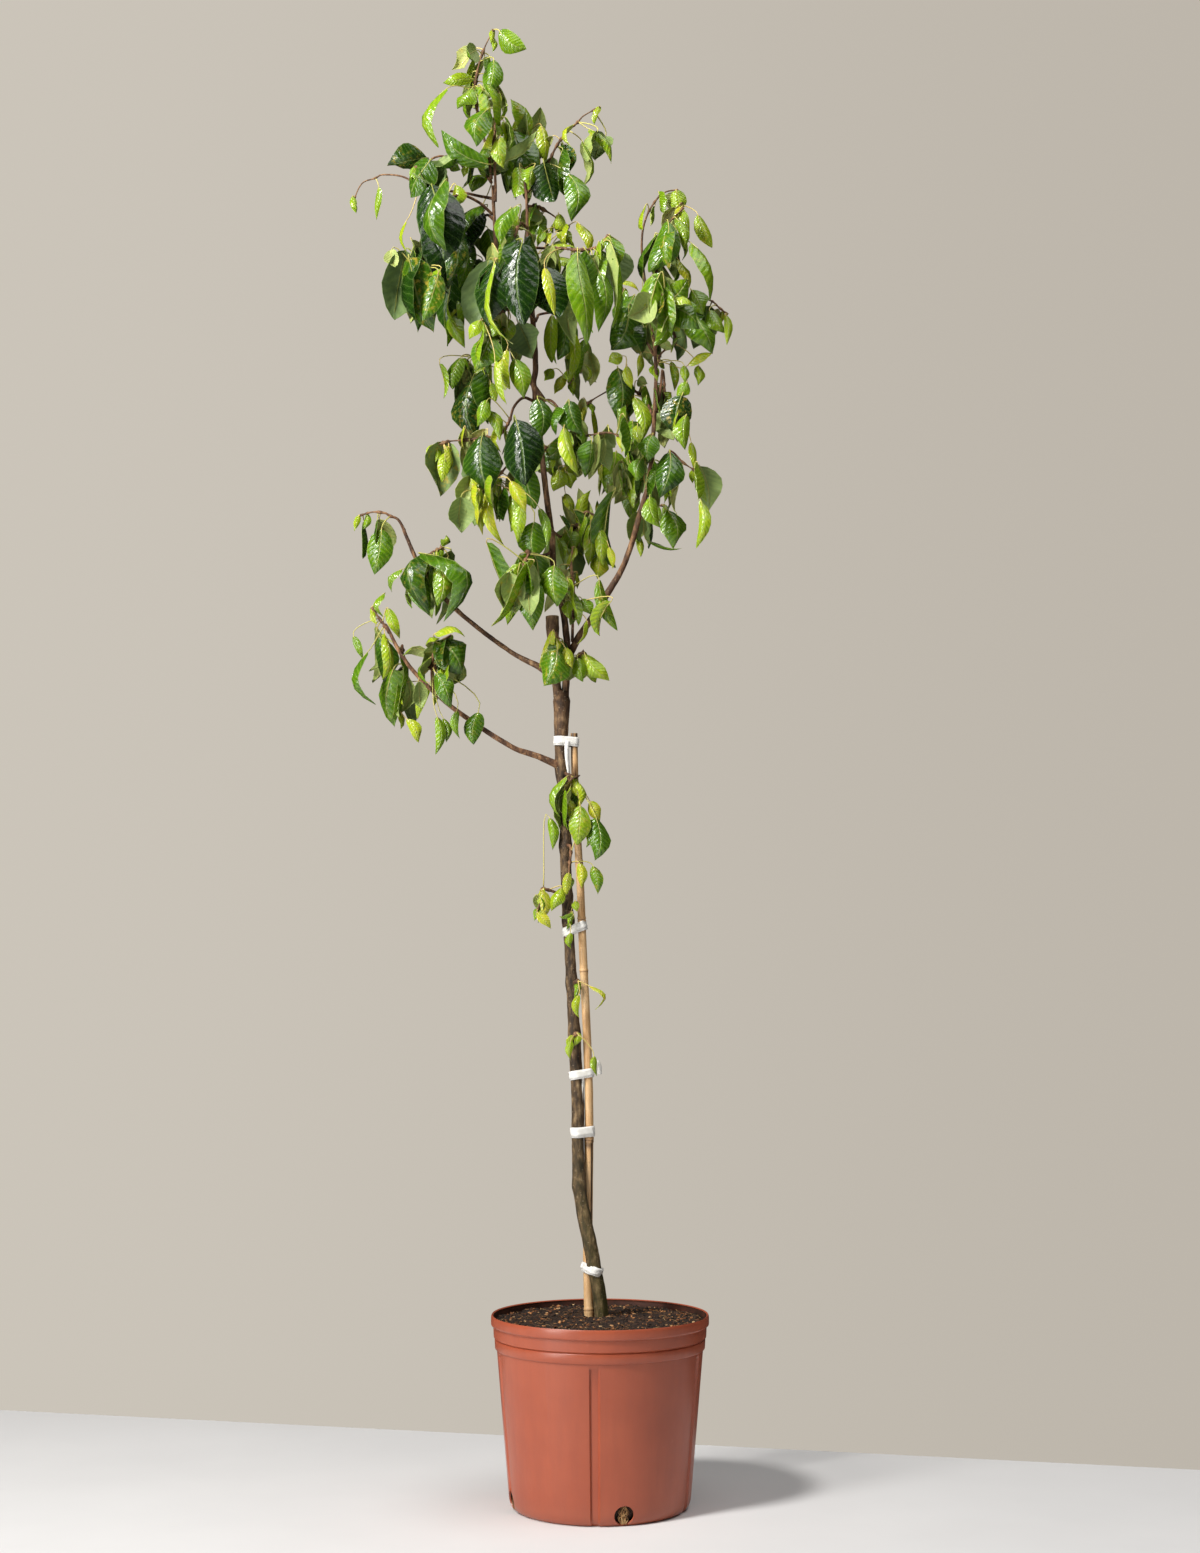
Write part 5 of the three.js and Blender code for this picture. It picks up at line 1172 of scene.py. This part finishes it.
# ---- leafy shoots: slim twigs with their stalked blades ----
# Each shoot is one twig with alternate leaves on slim stalks. Leaves are glossy above and
# pale and matt below; old broad ones are dark green, young small ones yellow-green.
BLADE_LENGTH_STEPS = 8
BLADE_WIDTH_STEPS = 4
RIB_SPOTS = 64
BLADE_THICKNESS = 0.35 * MM
RIB_UNDER = 0.45 * MM               # how far below the blade the midrib runs
BLADE_SHOULDER = 0.52               # how quickly a blade widens from its stalk


def vein_pattern(tree, place, spot):
    """Way across a blade, the pillow between two side veins, and where side veins and rib are."""
    across = times(tree, calculate(
        tree, "ABSOLUTE", calculate(tree, "SUBTRACT", place[0], 0.5)), 2.0)
    wobble = times(tree, noise_at(tree, spot, 70.0, 2.0), 0.5)
    order = times(tree, place[1], 8.5)
    order = calculate(tree, "SUBTRACT", order, times(tree, across, 1.7))
    order = plus(tree, order, wobble)
    pillow = times(tree, calculate(tree, "PINGPONG", order, 0.5), 2.0)
    vein = range_of(tree, pillow, 0.02, 0.17, 1.0, 0.0)
    rib = range_of(tree, across, 0.02, 0.08, 1.0, 0.0)
    return across, pillow, vein, rib


def leaf_material(name, underside):
    """Green from dark to yellow by the painted tone, cloudy, with a pale rib, faint veins and a painted
    highlight along the margin.
    """
    material, tree, shader = new_material(name)
    spot = object_place(tree)
    part = painted_parts(tree)
    place = add_node(tree, "SeparateXYZ", {0: add_node(tree, "UVMap", uv_map="blade").outputs[0]})
    across, pillow, vein, rib = vein_pattern(tree, place.outputs, spot)
    cloud = noise_at(tree, spot, 60.0, 4.0, 0.6)
    tone = plus(tree, part[0], times(tree, calculate(tree, "SUBTRACT", cloud, 0.5), 0.42))
    tone = plus(tree, tone, times(tree, calculate(tree, "SUBTRACT", pillow, 0.5), -0.10), clamp=True)
    if underside:
        base = color_steps(tree, tone, [
            (0.0, (0.14, 0.22, 0.080)), (0.35, (0.28, 0.40, 0.12)), (0.65, (0.45, 0.55, 0.15)),
            (1.0, (0.62, 0.62, 0.24))])
    else:
        base = color_steps(tree, tone, [
            (0.0, (0.007, 0.030, 0.002)), (0.22, (0.026, 0.085, 0.003)), (0.45, (0.095, 0.23, 0.004)),
            (0.68, (0.25, 0.43, 0.008)), (0.86, (0.42, 0.57, 0.015)), (1.0, (0.66, 0.62, 0.03))])
    fine = noise_at(tree, spot, 420.0, 3.0)
    base = blend_colors(tree, range_of(tree, fine, 0.35, 0.8, 0.0, 0.30), base,
                        (0.02, 0.05, 0.008, 1) if not underside else (0.14, 0.20, 0.06, 1))
    blotch = times(tree, part[2], range_of(
        tree, noise_at(tree, spot, 130.0, 4.0, 0.7), 0.52, 0.66))
    base = blend_colors(tree, blotch, base, (0.55, 0.42, 0.05, 1))
    pale = blend_colors(tree, tone, (0.16, 0.26, 0.07, 1), (0.66, 0.66, 0.22, 1))
    base = blend_colors(tree, times(tree, vein, 0.20), base, pale)
    base = blend_colors(tree, times(tree, rib, 0.60), base, pale)
    # Painted highlight: the blade is lightened towards its margin as a bright edge line.
    edge = range_of(tree, across, 0.93, 1.0, 0.0, 0.45)
    base = blend_colors(tree, edge, base, pale)
    roughness = (0.42, 0.60) if underside else (0.15, 0.30)
    height = calculate(tree, "SUBTRACT", times(tree, pillow, 0.6), rib)
    height = plus(tree, height, times(tree, cloud, 4.0))
    height = plus(tree, height, times(tree, fine, 0.25))
    fill_inputs(tree, shader, {
        "Base Color": base, "Roughness": range_of(tree, fine, 0.3, 0.7, *roughness),
        "Normal": bump_of(tree, height, -0.5 * MM if underside else 0.75 * MM, 0.8),
        "Specular IOR Level": 0.40 if underside else 0.70})
    glow = add_node(tree, "BsdfTranslucent", {"Color": base})
    mixed = add_node(tree, "MixShader", {0: 0.22, 1: shader.outputs[0], 2: glow.outputs[0]})
    tree.links.new(mixed.outputs[0], tree.nodes["Material Output"].inputs["Surface"])
    return material


def stalk_material():
    material, tree, shader = new_material("leaf_stalk")
    spot = object_place(tree)
    part = painted_parts(tree)
    tone = plus(tree, part[0], times(tree, noise_at(tree, spot, 90.0, 2.0), 0.3), clamp=True)
    base = color_steps(tree, tone, [(0.0, (0.10, 0.16, 0.03)), (0.5, (0.34, 0.36, 0.07)),
                                    (0.85, (0.58, 0.52, 0.14)), (1.0, (0.66, 0.50, 0.16))])
    red = range_of(tree, noise_at(tree, spot, 35.0, 2.0), 0.55, 0.75, 0.0, 0.5)
    base = blend_colors(tree, red, base, (0.30, 0.09, 0.04, 1))
    fill_inputs(tree, shader, {"Base Color": base, "Roughness": 0.42})
    return material


def blade_share(t, point):
    """Half-breadth of the blade at t from stalk to tip, as a share of its greatest."""
    spread = t ** BLADE_SHOULDER * (1 - t) ** point
    peak = BLADE_SHOULDER / (BLADE_SHOULDER + point)
    spread /= peak ** BLADE_SHOULDER * (1 - peak) ** point
    return spread * (1 - 0.35 * step_between(t, 0.78, 0.97))


class Blade:
    """The shape of one leaf: midrib curve, side and face, and its own small differences."""

    def __init__(self, leaf, tone, draw):
        base, spot, share, tip, half, face = leaf
        pull = 2 * share * (1 - share)
        middle = (spot - base * (1 - share) ** 2 - tip * share ** 2) / pull
        along = (tip - base).normalized()
        length = (tip - base).length
        self.half, self.tone = half * 1.18, tone
        self.face = (face - along * face.dot(along)).normalized()
        self.face = Matrix.Rotation(draw.uniform(-0.16, 0.16), 3, along) @ self.face
        self.side = along.cross(self.face)
        middle += self.side * length * draw.uniform(-0.32, 0.32)
        near_base, near_tip = base.lerp(middle, 2 / 3), tip.lerp(middle, 2 / 3)
        near_tip += self.face * length * draw.uniform(0.0, 0.34)
        last = BLADE_LENGTH_STEPS
        self.shares = [(1 - math.cos(math.pi * i / last)) / 2 for i in range(last + 1)]
        fine = interpolate_bezier(base, near_base, near_tip, tip, RIB_SPOTS + 1)
        self.rib = [fine[round(t * RIB_SPOTS)] for t in self.shares]
        self.point = draw.uniform(0.58, 0.82) if half > 7 * MM else draw.uniform(0.75, 1.1)
        self.fold = draw.uniform(0.35, 0.85)
        self.wave = draw.uniform(0.04, 0.11)
        self.wave_count = draw.uniform(1.6, 3.1)
        self.phase = draw.uniform(0, 2 * math.pi)
        self.twist = draw.uniform(-0.7, 0.7)
        self.look = (self.tone, draw.random(), max(draw.uniform(-1.6, 0.8), 0), 1)

    def way(self, i):
        last = BLADE_LENGTH_STEPS
        return (self.rib[min(i + 1, last)] - self.rib[max(i - 1, 0)]).normalized()

    def point_at(self, i, across):
        """The blade's surface at length step i, across from -1 to 1."""
        t = self.shares[i]
        twisted = Matrix.Rotation(self.twist * (t - 0.3), 3, self.way(i))
        side = twisted @ self.side
        up = side.cross(self.way(i)).normalized()
        half = self.half * blade_share(t, self.point)
        drop = self.fold * abs(across) ** 1.35 * half
        ripple = math.sin(self.phase + across * 0.9 + t * self.wave_count * 2 * math.pi)
        lift = ripple * self.wave * self.half * abs(across) ** 1.6 * min(t * 4, 1)
        return self.rib[i] + side * (across * half) + up * (lift - drop)


def add_blade(form, blade, look, uv_layer):
    """A thin blade, closed all round: upper side, underside and a pale margin."""
    made = bmesh.ops.create_grid(form, x_segments=BLADE_WIDTH_STEPS, y_segments=BLADE_LENGTH_STEPS,
                                 size=0.5, calc_uvs=False)["verts"]
    upper = list({face for vert in made for face in vert.link_faces})
    plan = {}
    for vert in made:
        row = round((vert.co.y + 0.5) * BLADE_LENGTH_STEPS)
        plan[vert] = (vert.co.x + 0.5, blade.shares[row])
        vert.co = blade.point_at(row, vert.co.x * 2)
    for face in upper:
        face.normal_update()
        for loop in face.loops:
            loop[uv_layer].uv = plan[loop.vert]
    if sum(face.normal.dot(blade.face) for face in upper) < 0:
        bmesh.ops.reverse_faces(form, faces=upper)
    for vert in made:
        vert.normal_update()
    pulled = bmesh.ops.extrude_face_region(form, geom=upper, use_keep_orig=True)["geom"]
    under = [part for part in pulled if isinstance(part, bmesh.types.BMFace)]
    low_verts = verts_of(pulled)
    for vert in low_verts:
        vert.normal_update()
    moves = {vert: vert.normal * BLADE_THICKNESS for vert in low_verts}
    for vert, move in moves.items():
        vert.co -= move
    whole = list({face for vert in made + low_verts for face in vert.link_faces})
    bmesh.ops.recalc_face_normals(form, faces=whole)
    upper_set, under_set = set(upper), set(under)
    for face in whole:
        face.smooth = True
        face.material_index = 0 if face in upper_set else 1
        if face not in upper_set and face not in under_set:
            for edge in face.edges:
                edge.smooth = edge.calc_face_angle(0) < 0.6
    for vert in made + low_verts:
        vert[look] = blade.look


def add_stalk(form, blade, root, layer):
    """The stalk from the twig to the blade, running on under it as the midrib."""
    base = blade.rib[0]
    gap = (base - root).length
    start = blade.way(0)
    first = root.lerp(base, 0.3) + Vector((0, 0, 0.10 * gap))
    line = interpolate_bezier(root, first, base - start * gap * 0.35, base, 7)
    for i in range(2, BLADE_LENGTH_STEPS - 1, 2):
        up = blade.side.cross(blade.way(i)).normalized()
        line.append(blade.rib[i] - up * RIB_UNDER)
    thick = 0.55 + min(blade.half / MM, 24) * 0.022
    radii = in_mm([thick * 1.25, thick, thick, thick * 0.95, thick * 0.7, thick * 0.5, thick * 0.28])
    faces = add_rod(form, line, radii, 5)
    for face in faces:
        face.material_index = 2
        for vert in face.verts:
            vert[layer] = (min(blade.tone * 0.75 + 0.2, 1), 0, 0, 1)


YOUNG_HALF, OLD_HALF = 5 * MM, 24 * MM    # half-breadths of the youngest and oldest blades
FULL_HALF = 7 * MM                         # a blade broader than this has others behind it
COMPANIONS = 3
YOUNG_AT_TIP = 2
ROOM = 0.130                               # depth that the filling leaves keep within
cad_low, cad_high = cad_box


def leaf_tone(half, share, draw):
    """Old broad leaves low on a shoot are dark; small ones near its tip are yellow-green."""
    age = step_between(half, YOUNG_HALF, OLD_HALF)
    return min(max(0.74 - 0.62 * age + 0.22 * (share - 0.5) + draw.uniform(-0.20, 0.20), 0.02), 0.92)


def turned_about(leaf, root, turn, shrink):
    """The same leaf swung round the upright through its root, and a little smaller."""
    swing = Matrix.Rotation(turn, 3, "Z")
    base, spot, tip = (root + swing @ (point - root) * shrink
                       for point in (leaf.base, leaf.spot, leaf.tip))
    return Leaf(base, spot, leaf.share, tip, leaf.half * shrink, swing @ leaf.face)


def filling_leaves(leaves, rooting, draw):
    """Guessed leaves on the other sides of the twig, which the CAD shoot leaves out."""
    made = []
    for leaf in leaves:
        if leaf.half < FULL_HALF:
            continue
        for k in range(COMPANIONS):
            root = draw.choice(rooting)
            shift = (root - leaf.base) * 0.6
            moved = leaf._replace(base=leaf.base + shift, spot=leaf.spot + shift,
                                  tip=leaf.tip + shift)
            turn = (k + 1) * 2 * math.pi / (COMPANIONS + 1) + draw.uniform(-0.6, 0.6)
            new = turned_about(moved, root, turn, draw.uniform(0.80, 1.0))
            inside = all(abs(point.y) < ROOM and cad_low.x < point.x < cad_high.x
                         for point in (new.base, new.spot, new.tip))
            if inside:
                made.append(new)
    return made


def young_leaves(line, draw):
    """The small unfolding leaves at the end of a twig."""
    made = []
    for k in range(YOUNG_AT_TIP):
        base = line[-1 - 2 * k] + Vector((draw.uniform(-3, 3), draw.uniform(-3, 3), 1)) * MM
        reach = Vector((draw.uniform(-7, 7), draw.uniform(-9, 3), -draw.uniform(16, 26))) * MM
        face = Vector((draw.uniform(-0.5, 0.5), -1, 0.2)).normalized()
        half = draw.uniform(3, 4.5) * MM
        made.append(Leaf(base, base + reach * BROADEST, BROADEST, base + reach, half, face))
    return made


leaf_upper = leaf_material("leaf_upper", False)
leaf_under = leaf_material("leaf_underside", True)
leaf_stalk = stalk_material()
TWIG_RADII = [2.2, 1.8, 1.6, 1.35, 1.0, 0.7]
LEAFLESS_SHARE = 0.35               # of a twig, from its foot


def twig_paint(spot, share, angle, out):
    return (0.15, 0, 0.30 * step_between(share, 0.3, 1.0), 1)


def bud_relief(buds):
    def relief(spot, share, angle, out):
        added = noise_of(spot.x * 200, spot.y * 200 + out.x, spot.z * 200) * 0.12 * MM
        for bud in buds:
            added += 0.9 * MM * math.exp(-((spot - bud).length / (2.2 * MM)) ** 2)
        return added
    return relief


for name, (knees, leaves) in shoots.items():
    draw = random.Random(name)
    line = smooth_line(knees, 3.5 * MM)
    rooting = line[int(len(line) * LEAFLESS_SHARE):]
    leaves = leaves + filling_leaves(leaves, rooting, draw) + young_leaves(line, draw)
    blades_form, look = painted_form()
    uv_layer = blades_form.loops.layers.uv.new("blade")
    buds = []
    for leaf in leaves:
        root = min(rooting, key=lambda spot: (spot - leaf.base).length)
        blade = Blade(leaf, leaf_tone(leaf.half, line.index(root) / len(line), draw), draw)
        buds.append(root)
        add_blade(blades_form, blade, look, uv_layer)
        add_stalk(blades_form, blade, root, look)
    make_piece(name + "_leaves", blades_form, [leaf_upper, leaf_under, leaf_stalk], "leaf", name)
    twig_form, look = painted_form()
    add_rod(twig_form, line, in_mm(TWIG_RADII), 10, bud_relief(buds), twig_paint, look)
    make_piece(name + "_twig", twig_form, [pear_bark], "shoot_bark", name)
